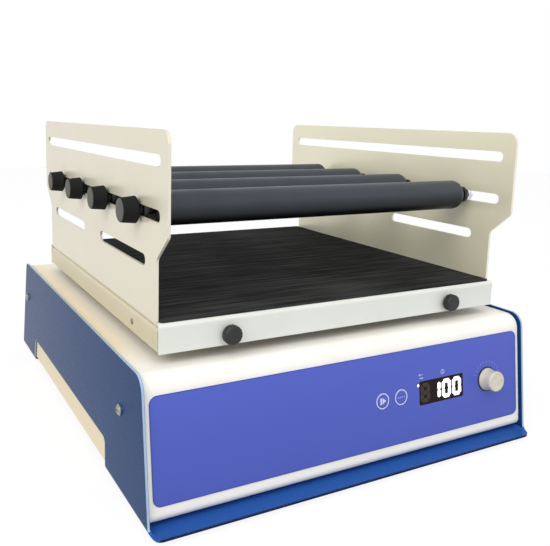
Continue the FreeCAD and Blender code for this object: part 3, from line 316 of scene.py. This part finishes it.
def panZones(finish, tone):
    # Lip painted lighter as painted light, a painted shade along its front edge, and a painted highlight
    # along the cheeks' cut edges
    x, y, z = finish.axes()
    inner, outer = pan["cheek"]
    edge = (abs(x) > inner) * (abs(x) < outer) * (z > pan["edgeFoot"])
    half, back, top = pan["ledge"]
    flat = (abs(x) < half) * (y < back) * (z < top)
    tone = finish.tint(edge, tone, paint(*pan["paintedEdgeHighlight"]))
    tone = finish.tint(flat, tone, paint(*pan["paintedLitLip"]))
    tone = finish.tint(y < pan["lip"], tone, paint(*pan["paintedLitLip"]))
    return finish.tint(y < pan["lipEdge"], tone, paint(*pan["dark"]))


cover = {
    "warmLightTone": (238, 225, 197),
    "sides": (150 * mm, 174 * mm),  # it sets in between these distances from the middle
    "behind": (-165 * mm, -120 * mm),
}


def coverZones(finish, tone):
    # Painted warm light: a cream tone along both sides, behind the front
    x, y = finish.axes()[:2]
    paintedWarmLight = finish.ramp(abs(x), *cover["sides"]) * finish.ramp(y, *cover["behind"])
    return finish.tint(paintedWarmLight, tone, paint(*cover["warmLightTone"]))


blueCoat = coatedSheet("blueCoat", (6, 58, 112), (5, 53, 105), 0.24, relief=0.1, sheen=0.04,
                       zones=panZones)
whiteCoat = coatedSheet("whiteCoat", (244, 243, 238), (238, 236, 230), 0.42, sheen=0.15,
                        zones=coverZones)
trayCoat = coatedSheet("trayCoat", (224, 228, 222), (216, 220, 214), 0.38, 0.1)
creamCoat = coatedSheet("creamCoat", (206, 199, 172), (197, 189, 162), 0.34, 0.1)
leftSteel = satinPlate("leftPlateSteel", plate["leftTone"])
rightSteel = satinPlate("rightPlateSteel", plate["rightTone"])
steel = metal("zincSteel", (196, 198, 202), 0.28)
rivetSteel = metal("rivetSteel", (146, 143, 131), 0.45)
thumbPlastic = plastic("thumbPlastic", (23, 25, 24), 0.4, sheen=0.45)
groundSteel = metal("groundSteel", (205, 206, 208), 0.16, bare["drawnZ"])
aluminium = metal("machinedAluminium", (210, 212, 214), 0.3)
bronze = metal("oiledBronze", (176, 132, 78), 0.32)
darkSteel = metal("darkSteel", (92, 94, 98), 0.4)
blackPlastic = plastic("blackPlastic", (14, 15, 15), 0.42, sheen=0.2)
ivoryPlastic = plastic("ivoryPlastic", (203, 197, 183), 0.42, 0.4 * mm, 0.006 * mm)
greenBoard = plastic("circuitBoard", (24, 84, 52), 0.35, 1.2 * mm)
enamel = plastic("motorEnamel", (38, 40, 44), 0.3, 0.9 * mm)
footRubber = mattRubber()
print("finishes built")


stud = {
    "steel": (216, 219, 226),
    "black": (12, 12, 13),
    "pitch": 1.25 * mm,  # of the thread in the slots
    "thread": 0.12 * mm,
    "collar": 158 * mm,  # outside face of the two collars, from the middle
    "sleeve": 149.8 * mm,
}


def barStud():
    # Drawn steel, threaded at both ends, with black collars inside the plates, and its left end, in the
    # left plate's slot, painted black as painted shade
    finish = Finish("barStud")
    x = finish.axes()[0]
    collar = (abs(x) > stud["sleeve"]) * (abs(x) < stud["collar"])
    # The left end is painted black, as painted shade in the left plate's slot
    black = collar + (x < -stud["collar"])
    drawn = finish.noise(bare["lines"], 3.0, 0.6, bare["drawnX"])
    tone = finish.tint(black, paint(*stud["steel"]), paint(*stud["black"]))
    wave = finish.node("Math", {"operation": "SINE"}, {0: x * (2 * math.pi / stud["pitch"])})
    normal = finish.bump(wave * (abs(x) > stud["collar"]), stud["thread"], finish.softEdges(bare["edge"]))
    return finish.feed(Base_Color=tone, Metallic=1.0 - black, Normal=normal,
                       Roughness=0.2 + 0.12 * drawn + 0.25 * black)


film = {
    "top": (80, 95, 194),
    "bottom": (69, 86, 178),
    "velvet": 0.22 * mm,
    "relief": 0.004 * mm,
    "cloud": 90 * mm,
}


def membrane():
    # Polyester overlay, back-printed: very fine velvet grain, and painted lighter towards its top as
    # painted light
    finish = Finish("membraneBlue", Specular_IOR_Level=0.35)
    low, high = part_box("control_overlay")
    velvet = finish.noise(film["velvet"], 1.0)
    cloud = finish.noise(film["cloud"], 2.0)
    rise = finish.ramp(finish.axes()[2], low.z, high.z)
    # Painted light: the tone rises towards the overlay's top
    tone = finish.tint(rise * 0.75 + cloud * 0.25, paint(*film["bottom"]), paint(*film["top"]))
    return finish.feed(Base_Color=tone, Normal=finish.bump(velvet, film["relief"]),
                       Roughness=0.36 + 0.08 * velvet)


sleeve = {
    # painted light on top, painted shade underneath
    "top": (65, 69, 76),
    "under": (13, 13, 14),
    "rise": (0.12, 0.66),  # shares of the height between which the tone changes
    "pore": 0.5 * mm,
    "relief": 0.006 * mm,
    "bloom": 22 * mm,
}


def sleeveFoam():
    # Dense foam, painted paler on top as painted light and nearly black underneath as painted shade
    finish = Finish("sleeveFoam", Specular_IOR_Level=0.12)
    low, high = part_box("bar_sleeve_1")
    first, last = (low.z + share * (high.z - low.z) for share in sleeve["rise"])
    pores = finish.pores(sleeve["pore"])
    bloom = finish.ramp(finish.noise(sleeve["bloom"], 4.0, 0.6), 0.45, 0.8)
    paintedTopLight = finish.ramp(finish.axes()[2], first, last)
    tone = finish.tint(paintedTopLight * (1.0 - 0.15 * bloom), paint(*sleeve["under"]), paint(*sleeve["top"]))
    return finish.feed(Base_Color=tone, Normal=finish.bump(pores, sleeve["relief"]),
                       Roughness=0.36 + 0.1 * bloom - 0.05 * pores)


smoke = {
    "dark": (16, 9, 8),
    "light": (30, 18, 16),
    "haze": 12 * mm,
}


def smokedLens():
    # Dark red-brown window with a slight haze
    finish = Finish("smokedLens", Specular_IOR_Level=0.12)
    haze = finish.noise(smoke["haze"], 3.0)
    tone = finish.tint(haze, paint(*smoke["dark"]), paint(*smoke["light"]))
    return finish.feed(Base_Color=tone, Roughness=0.16 + 0.1 * haze)


wiped = {
    "dark": (32, 32, 32),
    "bloomed": (66, 67, 67),
    "streak": 4 * mm,
    "along": (0.04, 1, 1),  # stretches the streaks from side to side
    "cloud": 90 * mm,
    "pore": 0.7 * mm,
    "relief": 0.02 * mm,
}


def streakedMat():
    # Ribbed rubber, wiped along the ribs: faint streaks of bloom run from side to side
    finish = Finish("matRubber", Specular_IOR_Level=0.04)
    pores = finish.pores(wiped["pore"])
    streaks = finish.noise(wiped["streak"], 3.0, 0.65, wiped["along"])
    cloud = finish.noise(wiped["cloud"], 2.0)
    bloom = finish.ramp(streaks * 0.7 + cloud * 0.3, 0.42, 0.66)
    tone = finish.tint(bloom, paint(*wiped["dark"]), paint(*wiped["bloomed"]))
    return finish.feed(Base_Color=tone, Normal=finish.bump(pores, wiped["relief"]),
                       Roughness=0.76 + 0.12 * bloom)


clampTone = {
    "side": (12, 14, 12),
    "face": (88, 88, 84),
    "worn": (106, 106, 102),
    "faceDepth": 0.4 * mm,
    "rings": 1.2 * mm,
    "grain": 0.5 * mm,
    "relief": 0.02 * mm,
}


def clampPlastic():
    # Black knob with a paler, worn outer face
    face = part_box("clamp_knob_1")[0].x + clampTone["faceDepth"]
    finish = Finish("clampPlastic", Specular_IOR_Level=0.2)
    x = finish.axes()[0]
    outer = x < face
    spark = finish.noise(clampTone["grain"], 2.0, 0.55)
    rings = finish.noise(clampTone["rings"], 3.0, 0.6)
    tone = finish.tint(outer, paint(*clampTone["side"]), paint(*clampTone["face"]))
    tone = finish.tint(outer * finish.ramp(rings, 0.4, 0.7) * 0.5, tone, paint(*clampTone["worn"]))
    normal = finish.bump(spark, clampTone["relief"], finish.softEdges(moulded["edge"]))
    return finish.feed(Base_Color=tone, Normal=normal, Roughness=0.5 + 0.2 * spark)


heads = {
    "height": 71.0 * mm,  # of the cheek screws
    "along": (-151.0 * mm, 179.0 * mm),
    "recess": (180.2 * mm, 182.2 * mm),  # the cross recess lies between these distances from the middle
    "reach": 2.1 * mm,
    "plated": (158, 160, 158),
    "recessShade": (18, 18, 18),
}


def screwHeads():
    # Zinc-plated screws with painted shade in the cross recess
    finish = Finish("screwHeads")
    x, y, z = finish.axes()
    first, second = (abs(y - along) < heads["reach"] for along in heads["along"])
    inner, outer = heads["recess"]
    deep = (abs(x) < outer) * (abs(x) > inner)
    recessShade = (first + second) * deep * (abs(z - heads["height"]) < heads["reach"])
    lines = finish.noise(bare["lines"], 3.0, 0.6)
    tone = finish.tint(recessShade, paint(*heads["plated"]), paint(*heads["recessShade"]))
    normal = finish.bump(lines, bare["relief"], finish.softEdges(bare["edge"]))
    return finish.feed(Base_Color=tone, Metallic=1.0 - recessShade, Normal=normal,
                       Roughness=0.26 + 0.16 * lines + 0.4 * recessShade)


studSteel = barStud()
headSteel = screwHeads()
foamRubber = sleeveFoam()
membraneBlue = membrane()
lensFinish = smokedLens()
clampFinish = clampPlastic()
matRubber = streakedMat()

looks = {
    "base_pan": blueCoat, "top_cover": whiteCoat, "rear_panel": whiteCoat,
    "casing_screws": headSteel, "rubber_feet": footRubber, "foot_screws": steel,
    "control_overlay": membraneBlue, "start_key": membraneBlue, "mode_key": membraneBlue,
    "display_window": lensFinish, "display_module": blackPlastic, "encoder": darkSteel,
    "encoder_shaft": steel, "speed_knob": ivoryPlastic, "control_board": greenBoard,
    "board_spacers": bronze, "mains_inlet": blackPlastic, "switch_housing": blackPlastic,
    "power_rocker": blackPlastic, "drive_deck": steel, "deck_pillars": steel,
    "main_bearing_housing": aluminium, "main_bearings": groundSteel, "drive_shaft": groundSteel,
    "driven_pulley": aluminium, "counterweight": darkSteel, "idler_housings": aluminium,
    "idler_bushes": bronze, "motor": enamel, "motor_shaft": groundSteel, "motor_pulley": aluminium,
    "drive_belt": footRubber, "power_supply": steel, "platform_pan": creamCoat,
    "platform_hubs": aluminium, "platform_bearings": groundSteel, "flange_inserts": rivetSteel,
    "carrier_tray": trayCoat, "tray_rivets": steel, "left_side_plate": leftSteel,
    "right_side_plate": rightSteel, "rubber_mat": matRubber,
}
families = {
    "idler_crank_": groundSteel, "bar_rod_": studSteel, "bar_sleeve_": foamRubber,
    "clamp_knob_": clampFinish, "thumb_screw_": thumbPlastic,
}
for name, node in nodes.items():
    family = [finish for start, finish in families.items() if name.startswith(start)]
    node.data.materials.clear()
    node.data.materials.append(family[0] if family else looks[name])
print("finishes given to", len(nodes), "nodes")


def piece(name, build, finish, body, smooth=0):
    # Runs build on an empty mesh and rides the result on a body; edges over smooth degrees stay sharp
    mesh = bmesh.new()
    build(mesh)
    bmesh.ops.recalc_face_normals(mesh, faces=mesh.faces)
    data = bpy.data.meshes.new(name)
    mesh.to_mesh(data)
    mesh.free()
    data.materials.append(finish)
    if smooth:
        data.shade_smooth()
        data.set_sharp_from_angle(angle=math.radians(smooth))
    made = bpy.data.objects.new(name, data)
    bpy.context.scene.collection.objects.link(made)
    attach(made, body)
    return made


def slab(mesh, outline, low, high):
    # Outline of (x, y) pairs on the control face, given thickness between two levels over it
    rings = []
    for level in (low, high):
        rings.append([mesh.verts.new(facePlace @ Vector((x, y, level))) for x, y in outline])
    mesh.faces.new(rings[0])
    mesh.faces.new(rings[1])
    count = len(outline)
    for index in range(count):
        after = (index + 1) % count
        mesh.faces.new([rings[0][index], rings[0][after], rings[1][after], rings[1][index]])


def hoop(mesh, centre, inner, outer, low, high, steps=64):
    # Flat ring on the control face
    x0, y0 = centre
    angles = [math.radians(360.0 * step / steps) for step in range(steps + 1)]
    for a, b in zip(angles, angles[1:]):
        outline = [(x0 + r * math.cos(t), y0 + r * math.sin(t))
                   for r, t in ((inner, a), (outer, a), (outer, b), (inner, b))]
        slab(mesh, outline, low, high)


def lathe(mesh, profile, place, steps=96, flutes=0, depth=0.0, fluted=(0.0, 0.0)):
    # Turns (radius, height) pairs about the Z of place; flutes are cut between two heights
    rings = []
    for radius, height in profile:
        cut = depth if fluted[0] <= height <= fluted[1] else 0.0
        ring = []
        for step in range(steps):
            turn = 2 * math.pi * step / steps
            reach = radius - cut * (0.5 - 0.5 * math.cos(flutes * turn))
            point = Vector((reach * math.cos(turn), reach * math.sin(turn), height))
            ring.append(mesh.verts.new(place @ point))
        rings.append(ring)
    for first, second in zip(rings, rings[1:]):
        for index in range(steps):
            after = (index + 1) % steps
            mesh.faces.new([first[index], first[after], second[after], second[index]])
    mesh.faces.new(rings[0])
    mesh.faces.new(rings[-1])


def disc(centre, radius, steps=32):
    x0, y0 = centre
    return [(x0 + radius * math.cos(2 * math.pi * step / steps),
             y0 + radius * math.sin(2 * math.pi * step / steps)) for step in range(steps)]


panel = {
    "lean": math.atan2(13.1, 106.0),  # of the front face, back from upright
    "thick": 0.6 * mm,
    "layer": 0.04 * mm,
    "inkGrain": 0.15 * mm,
}
overlayLow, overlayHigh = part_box("control_overlay")
faceMiddle = (overlayLow + overlayHigh) / 2
faceUp = Vector((0, math.sin(panel["lean"]), math.cos(panel["lean"])))
faceOut = Vector((1, 0, 0)).cross(faceUp)
facePlace = Matrix((Vector((1, 0, 0)), faceUp, faceOut)).transposed().to_4x4()
facePlace.translation = faceMiddle + faceOut * panel["thick"] / 2


def onFace(node):
    # Middle of a node in the plane of the control face
    low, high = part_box(node)
    local = facePlace.inverted() @ ((low + high) / 2)
    return local.x, local.y


def layerFinish(name, colour, glow=0.0):
    # Printed ink, a painted shadow ring, or a lit bar where it glows
    finish = Finish(name, Specular_IOR_Level=0.4, Emission_Strength=glow, Emission_Color=paint(*colour))
    grain = finish.noise(panel["inkGrain"], 2.0)
    tone = finish.tint(finish.ramp(grain, 0.35, 0.8) * 0.35, paint(*colour),
                       paint(*[c * 0.9 for c in colour]))
    return finish.feed(Base_Color=tone, Roughness=0.4 + 0.1 * grain)


keyInk = layerFinish("keyInk", (206, 212, 244))
fineInk = layerFinish("fineInk", (150, 160, 226))
litInk = layerFinish("litSegment", (255, 255, 255), 0.9)
unlitInk = layerFinish("unlitSegment", (46, 29, 23))
borderDarkLine = layerFinish("borderDarkLine", (58, 68, 146))
knobShadowTone = layerFinish("knobShadowTone", (22, 23, 58))

marks = {
    "ringOuter": 6.4 * mm,
    "ringWidth": 0.85 * mm,
    "ring": (-0.13 * mm, 0.22 * mm),
    "sign": (0.12 * mm, 0.30 * mm),  # over the key's crown
    "bar": ((-2.5, -2.7), (-1.0, -2.7), (-1.0, 2.7), (-2.5, 2.7)),  # both outlines in mm
    "arrow": ((-0.3, -2.6), (3.4, 0), (-0.3, 2.6)),
    "dots": (-2.9 * mm, -0.97 * mm, 0.97 * mm, 2.9 * mm),
    "dotRadius": 0.62 * mm,
}


def keyRing(mesh, x, y):
    hoop(mesh, (x, y), marks["ringOuter"] - marks["ringWidth"], marks["ringOuter"], *marks["ring"])


def startMark(mesh):
    x, y = onFace("start_key")
    keyRing(mesh, x, y)
    for shape in ("bar", "arrow"):
        slab(mesh, [(x + dx * mm, y + dy * mm) for dx, dy in marks[shape]], *marks["sign"])


def modeMark(mesh):
    keyRing(mesh, *onFace("mode_key"))


def modeDots(mesh):
    x, y = onFace("mode_key")
    for shift in marks["dots"]:
        slab(mesh, disc((x + shift, y), marks["dotRadius"], 20), *marks["sign"])


piece("startMark", startMark, keyInk, "start_button")
piece("modeMark", modeMark, keyInk, "mode_button")
piece("modeDots", modeDots, fineInk, "mode_button")

digits = {
    "pitch": 11.7 * mm,
    "width": 10.3 * mm,
    "height": 16.0 * mm,
    "stroke": 3.4 * mm,
    "nose": 0.45,  # bluntness of a bar's ends
    "shift": -0.4 * mm,  # of the row from the window's middle
    "shown": (None, 1, 0, 0),  # a blank place, then the reading
    "lamp": (-1.1 * mm, 7.0 * mm, 1.1 * mm),  # from the window's left edge and middle, and its radius
}
segmentsOf = {0: "abcdef", 1: "bc", None: ""}


def segmentOutline(letter, x, y):
    # Bar with blunt pointed ends, one of the seven of a digit
    half, tall, stroke = digits["width"] / 2, digits["height"] / 2, digits["stroke"]
    across = half - stroke / 2
    upright = (tall - stroke / 2) / 2
    centres = {"a": (0, tall - stroke / 2), "g": (0, 0), "d": (0, -tall + stroke / 2),
               "b": (across, upright), "c": (across, -upright), "e": (-across, -upright),
               "f": (-across, upright)}
    cx, cy = centres[letter]
    flat = letter in "agd"
    long = across if flat else upright
    wide = stroke / 2
    nose = wide * digits["nose"]
    slant = wide - nose
    shape = [(-long, -nose), (-long, nose), (-long + slant, wide), (long - slant, wide), (long, nose),
             (long, -nose), (long - slant, -wide), (-long + slant, -wide)]
    if not flat:
        shape = [(-b, a) for a, b in shape]
    return [(x + cx + a, y + cy + b) for a, b in shape]


def segmentDrawer(lit):
    def draw(mesh):
        x0, y0 = onFace("display_window")
        for place, value in enumerate(digits["shown"]):
            if not lit and value is not None:  # beside lit bars the others vanish
                continue
            x = x0 + (place - 1.5) * digits["pitch"] + digits["shift"]
            for letter in "abcdefg":
                if (letter in segmentsOf[value]) == lit:
                    slab(mesh, segmentOutline(letter, x, y0), 0, panel["layer"])
        if lit:
            left, rise, radius = digits["lamp"]
            corner = (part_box("display_window")[0].x + left, y0 + rise)
            slab(mesh, disc(corner, radius), 0, panel["layer"])
    return draw


signs = {
    "arrowLeft": -22.6 * mm,  # from the middle of the window
    "arrowRise": (12.6 * mm, 15.4 * mm),
    "shaft": 1.9 * mm,
    "head": (0.9 * mm, 2.7 * mm),  # half width of an arrow's head, and how far its tip reaches
    "clock": (1.4 * mm, 14.6 * mm, 2.0 * mm),
    "hands": ((1.2 * mm, 90), (0.9 * mm, -30)),
    "line": 0.42 * mm,
    "ticks": 11,
    "tickRadius": (14.6 * mm, 16.0 * mm),
    "tickArc": (20, 160),
}


def inkLine(x, y, angle, inner, outer):
    # Outline of a thin line from inner to outer radius about a point
    dx, dy = math.cos(angle), math.sin(angle)
    half = signs["line"] / 2
    return [(x + r * dx - side * dy, y + r * dy + side * dx)
            for r, side in ((inner, half), (inner, -half), (outer, -half), (outer, half))]


def turnSigns(mesh):
    # Two arrows for the way it turns, and a clock for the run time
    x0, y0 = onFace("display_window")
    half, shaft = signs["line"] / 2, signs["shaft"]
    wide, reach = signs["head"]
    for rise, way in zip(signs["arrowRise"], (1, -1)):
        x, y = x0 + signs["arrowLeft"], y0 + rise
        line = [(x - shaft, y - half), (x + shaft, y - half),
                (x + shaft, y + half), (x - shaft, y + half)]
        slab(mesh, line, 0, panel["layer"])
        tip = [(x + way * wide, y - wide), (x + way * reach, y), (x + way * wide, y + wide)]
        slab(mesh, tip, 0, panel["layer"])
    left, rise, radius = signs["clock"]
    x, y = x0 + left, y0 + rise
    hoop(mesh, (x, y), radius - signs["line"], radius, 0, panel["layer"], steps=32)
    for reach, angle in signs["hands"]:
        slab(mesh, inkLine(x, y, math.radians(angle), 0, reach), 0, panel["layer"])


def speedTicks(mesh):
    # Plain ticks in an arc over the speed knob
    x0, y0 = onFace("speed_knob")
    inner, outer = signs["tickRadius"]
    first, last = signs["tickArc"]
    for index in range(signs["ticks"]):
        angle = math.radians(first + (last - first) * index / (signs["ticks"] - 1))
        slab(mesh, inkLine(x0, y0, angle, inner, outer), 0, panel["layer"])


border = {
    "corner": 6.0 * mm,
    "width": 0.55 * mm,
    "steps": 8,
}
knobShadowRadii = (7.0 * mm, 10.9 * mm)  # inner and outer radius of the painted shadow ring under the speed knob


def faceBorder(mesh):
    # Darker line round the overlay's edge
    across = (overlayHigh.x - overlayLow.x) / 2
    tall = overlayHigh.z - overlayLow.z - panel["thick"] * math.sin(panel["lean"])
    upright = tall / math.cos(panel["lean"]) / 2
    outer, inner = border["corner"], border["corner"] - border["width"]
    outline = []
    for quarter, (sx, sy) in enumerate(((1, 1), (-1, 1), (-1, -1), (1, -1))):
        for step in range(border["steps"] + 1):
            turn = math.pi / 2 * (quarter + step / border["steps"])
            outline.append((sx * (across - outer), sy * (upright - outer),
                            math.cos(turn), math.sin(turn)))
    for first, second in zip(outline, outline[1:] + outline[:1]):
        quad = [(x + r * dx, y + r * dy) for (x, y, dx, dy), r in
                ((first, inner), (first, outer), (second, outer), (second, inner))]
        slab(mesh, quad, 0, panel["layer"])


def knobShadowRing(mesh):
    # Painted shadow: a dark ring under the speed knob
    hoop(mesh, onFace("speed_knob"), *knobShadowRadii, 0, panel["layer"])


piece("faceBorder", faceBorder, borderDarkLine, "base")
piece("knobShadowRing", knobShadowRing, knobShadowTone, "base")
piece("turnSigns", turnSigns, keyInk, "base")
piece("speedTicks", speedTicks, fineInk, "base")
piece("litSegments", segmentDrawer(True), litInk, "base")
piece("unlitSegments", segmentDrawer(False), unlitInk, "base")
print("control face marked")


speedGrip = {
    "skirt": 9.6 * mm,
    "waist": 8.35 * mm,
    "cap": 8.7 * mm,
    "length": 11.6 * mm,
    "dish": 0.3 * mm,  # the hollow of the face
    "lift": 0.05 * mm,
}


def speedKnob(mesh):
    # A skirt at the panel, a waist for the fingers, then the cap with its hollow face
    skirt, waist, cap, end = (speedGrip[key] for key in ("skirt", "waist", "cap", "length"))
    profile = [(skirt - 0.3 * mm, 0), (skirt, 0.3 * mm), (skirt, 1.3 * mm), (skirt - 0.35 * mm, 1.8 * mm),
               (waist + 0.45 * mm, 3.0 * mm), (waist + 0.08 * mm, 4.6 * mm), (waist, 6.0 * mm),
               (waist + 0.08 * mm, 7.4 * mm), (cap - 0.05 * mm, end - 2.0 * mm), (cap, end - 1.2 * mm),
               (cap - 0.25 * mm, end - 0.45 * mm), (cap - 0.7 * mm, end - 0.1 * mm), (cap - 1.2 * mm, end),
               (cap - 2.2 * mm, end - 0.12 * mm), (cap * 0.4, end - speedGrip["dish"]),
               (0.2 * mm, end - speedGrip["dish"])]
    x, y = onFace("speed_knob")
    lathe(mesh, profile, facePlace @ Matrix.Translation((x, y, speedGrip["lift"])))


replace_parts(piece("speedGrip", speedKnob, ivoryPlastic, "speed_control", 40), "speed_knob")

clampGrip = {
    "neck": 6.1 * mm,
    "drum": 9.9 * mm,
    "face": 8.6 * mm,
    "cone": 2.3 * mm,  # height of the drum's rear edge over the plate
    "flutes": 36,
    "fluteDepth": 0.28 * mm,
    "steps": 288,
}


def clampDrawer(node):
    # A cone from the plate to the drum, which tapers to its face
    def draw(mesh):
        low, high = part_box(node)
        end = high.x - low.x
        neck, drum, face, cone = (clampGrip[key] for key in ("neck", "drum", "face", "cone"))
        profile = [(neck, 0), (neck + 0.15 * mm, 0.8 * mm), (drum - 0.5 * mm, cone - 0.25 * mm),
                   (drum - 0.12 * mm, cone), (drum, cone + 0.4 * mm), (drum - 0.1 * mm, cone + 1.2 * mm),
                   (face + 0.35 * mm, end - 1.6 * mm), (face + 0.2 * mm, end - 0.8 * mm),
                   (face - 0.1 * mm, end - 0.3 * mm), (face - 0.55 * mm, end),
                   (face * 0.5, end - 0.15 * mm), (0.2 * mm, end - 0.15 * mm)]
        outward = Matrix(((0, 0, -1), (0, 1, 0), (1, 0, 0))).to_4x4()
        place = Matrix.Translation((high.x, (low.y + high.y) / 2, (low.z + high.z) / 2)) @ outward
        lathe(mesh, profile, place, clampGrip["steps"], clampGrip["flutes"], clampGrip["fluteDepth"],
              (cone + 1.0 * mm, end - 1.5 * mm))
    return draw


for number in range(1, 5):
    grip = piece("clampGrip_%d" % number, clampDrawer("clamp_knob_%d" % number), clampFinish,
                 "clamp_%d" % number, 40)
    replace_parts(grip, "clamp_knob_%d" % number)


spacer = {
    "under": 0.15 * mm,  # less than the sleeve's radius
    "middle": 4.5 * mm,
    "outerFace": -0.2 * mm,  # both faces, inwards from the sleeve's left end
    "innerFace": 10.3 * mm,
    "rim": 0.5 * mm,  # of the wall past both faces
}


def spacerDrawer(node):
    # Black ring round a sleeve's left end, which squares its rounded edge
    def draw(mesh):
        low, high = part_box(node)
        radius = (high.z - low.z) / 2 - spacer["under"]
        middle, outer, inner, rim = (spacer[key] for key in ("middle", "outerFace", "innerFace", "rim"))
        profile = [(middle, inner), (radius - rim, inner), (radius, inner + rim), (radius, outer - rim),
                   (radius - rim, outer), (middle, outer)]
        inward = Matrix(((0, 0, 1), (0, 1, 0), (-1, 0, 0))).to_4x4()
        place = Matrix.Translation((low.x, (low.y + high.y) / 2, (low.z + high.z) / 2)) @ inward
        lathe(mesh, profile, place)
    return draw


for number in range(1, 5):
    piece("spacer_%d" % number, spacerDrawer("bar_sleeve_%d" % number), blackPlastic,
          "bar_%d" % number, 40)
print("knobs and spacers built")


mat = {
    "pitch": 2.4 * mm,
    "groove": 0.35 * mm,
    "corner": 2.0 * mm,
    "rib": ((0.0, 1.0), (0.12, 0.3), (0.25, 0.0), (0.75, 0.0), (0.88, 0.3)),  # share of the pitch and depth
}


def ribbedMat(mesh):
    # Ribs run across the tray, so one profile along Y is swept along X
    low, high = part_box("rubber_mat")
    count = round((high.y - low.y) / mat["pitch"])
    pitch = (high.y - low.y) / count
    rows = []
    for rib in range(count):
        y = low.y + rib * pitch
        for share, depth in mat["rib"]:
            rows.append((y + share * pitch, high.z - depth * mat["groove"]))
    rows.append((high.y, high.z - mat["groove"]))
    rings = []
    for y, z in rows:
        near = max(0.0, mat["corner"] - min(y - low.y, high.y - y))
        trim = mat["corner"] - math.sqrt(max(0.0, mat["corner"] ** 2 - near ** 2))
        left, right = low.x + trim, high.x - trim
        rings.append([mesh.verts.new((x, y, level))
                      for x, level in ((left, low.z), (left, z), (right, z), (right, low.z))])
    for first, second in zip(rings, rings[1:]):
        for side in range(4):
            after = (side + 1) % 4
            mesh.faces.new([first[side], second[side], second[after], first[after]])
    mesh.faces.new(rings[0])
    mesh.faces.new(rings[-1])


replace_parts(piece("ribbedMat", ribbedMat, matRubber, "platform"), "rubber_mat")
print("mat built")


studio = {
    "floor": 6.0,
    "floorPlain": 0.5,  # what the object's surfaces get back from it
    "floorDim": 0.13,  # what shows the shadow
    "floorGlow": 0.885,
    "fill": 0.68,
    "fillTone": (0.975, 0.985, 1.0),
}
softBoxes = {
    "topBox": {"place": (-0.5, -1.9, 2.3), "aim": (0, 0, 0.1), "size": (2.6, 2.0), "power": 28,
               "colour": (1.0, 0.99, 0.98)},
    "frontBox": {"place": (0.1, -2.2, 0.75), "aim": (0, 0, 0.1), "size": (2.0, 1.0), "power": 5,
                 "colour": (0.94, 0.97, 1.0)},
    "leftBox": {"place": (-2.4, -0.9, 1.7), "aim": (0, 0, 0.12), "size": (1.8, 1.8), "power": 37,
                "colour": (1.0, 0.92, 0.79)},
}


def floorFinish():
    # Nearly white to the camera with a faint shadow, and plain pale to every other ray
    material = bpy.data.materials.new("paleFloor")
    material.use_nodes = True
    material.node_tree.nodes.clear()
    graph = Graph(material.node_tree)
    plain = graph.node("BsdfDiffuse", inputs={"Color": (*[studio["floorPlain"]] * 3, 1)})
    dim = graph.node("BsdfDiffuse", inputs={"Color": (*[studio["floorDim"]] * 3, 1)})
    glow = graph.node("Emission", inputs={"Strength": studio["floorGlow"]})
    both = graph.node("AddShader", inputs={0: dim, 1: glow})
    mixed = graph.node("MixShader", inputs={0: graph.seen(), 1: plain, 2: both})
    graph.node("OutputMaterial", inputs={"Surface": mixed})
    return material


def floorPlane():
    half = studio["floor"] / 2
    data = bpy.data.meshes.new("floor")
    data.from_pydata([(-half, -half, 0), (half, -half, 0), (half, half, 0), (-half, half, 0)], [],
                     [(0, 1, 2, 3)])
    data.materials.append(floorFinish())
    made = bpy.data.objects.new("floor", data)
    bpy.context.scene.collection.objects.link(made)


def worldLight():
    # Even fill, which the camera, metal and glass see as white
    world = bpy.data.worlds.new("studio")
    bpy.context.scene.world = world
    world.use_nodes = True
    world.node_tree.nodes.clear()
    graph = Graph(world.node_tree)
    fill = graph.node("Background", inputs={"Color": (*studio["fillTone"], 1),
                                            "Strength": studio["fill"]})
    white = graph.node("Background", inputs={"Color": (1, 1, 1, 1), "Strength": 1.0})
    mixed = graph.node("MixShader", inputs={0: graph.seen(), 1: fill, 2: white})
    graph.node("OutputWorld", inputs={"Surface": mixed})


def softBox(name, place, aim, size, power, colour):
    data = bpy.data.lights.new(name, "AREA")
    data.shape = "RECTANGLE"
    data.size, data.size_y = size
    data.energy = power
    data.color = colour
    made = bpy.data.objects.new(name, data)
    made.location = place
    made.rotation_mode = "QUATERNION"
    made.rotation_quaternion = (Vector(aim) - Vector(place)).to_track_quat("-Z", "Y")
    bpy.context.scene.collection.objects.link(made)


floorPlane()
worldLight()
for name, box in softBoxes.items():
    softBox(name, **box)
print("studio lit")


lens = {
    "place": (-0.32304, -0.58785, 0.27927),
    "yaw": 27.791,
    "pitch": 9.272,
    "roll": 1.224,
    "focal": 44.105,
    "shiftX": 0.07804,
    "shiftY": -0.08498,
    "sensor": 36,
    "clip": 0.02,
}


def aimCamera():
    yaw, pitch, roll = (math.radians(lens[key]) for key in ("yaw", "pitch", "roll"))
    ahead = Vector((math.sin(yaw) * math.cos(pitch), math.cos(yaw) * math.cos(pitch), -math.sin(pitch)))
    right = Vector((math.cos(yaw), -math.sin(yaw), 0))
    up = right.cross(ahead)
    rolledRight = math.cos(roll) * right + math.sin(roll) * up
    rolledUp = -math.sin(roll) * right + math.cos(roll) * up
    data = bpy.data.cameras.new("camera")
    data.lens = lens["focal"]
    data.sensor_width = lens["sensor"]
    data.shift_x = lens["shiftX"]
    data.shift_y = lens["shiftY"]
    data.clip_start = lens["clip"]
    made = bpy.data.objects.new("camera", data)
    turn = Matrix((rolledRight, rolledUp, -ahead)).transposed().to_4x4()
    made.matrix_world = Matrix.Translation(lens["place"]) @ turn
    bpy.context.scene.collection.objects.link(made)
    bpy.context.scene.camera = made


aimCamera()
bpy.context.scene.view_settings.view_transform = "Standard"
print("camera set")
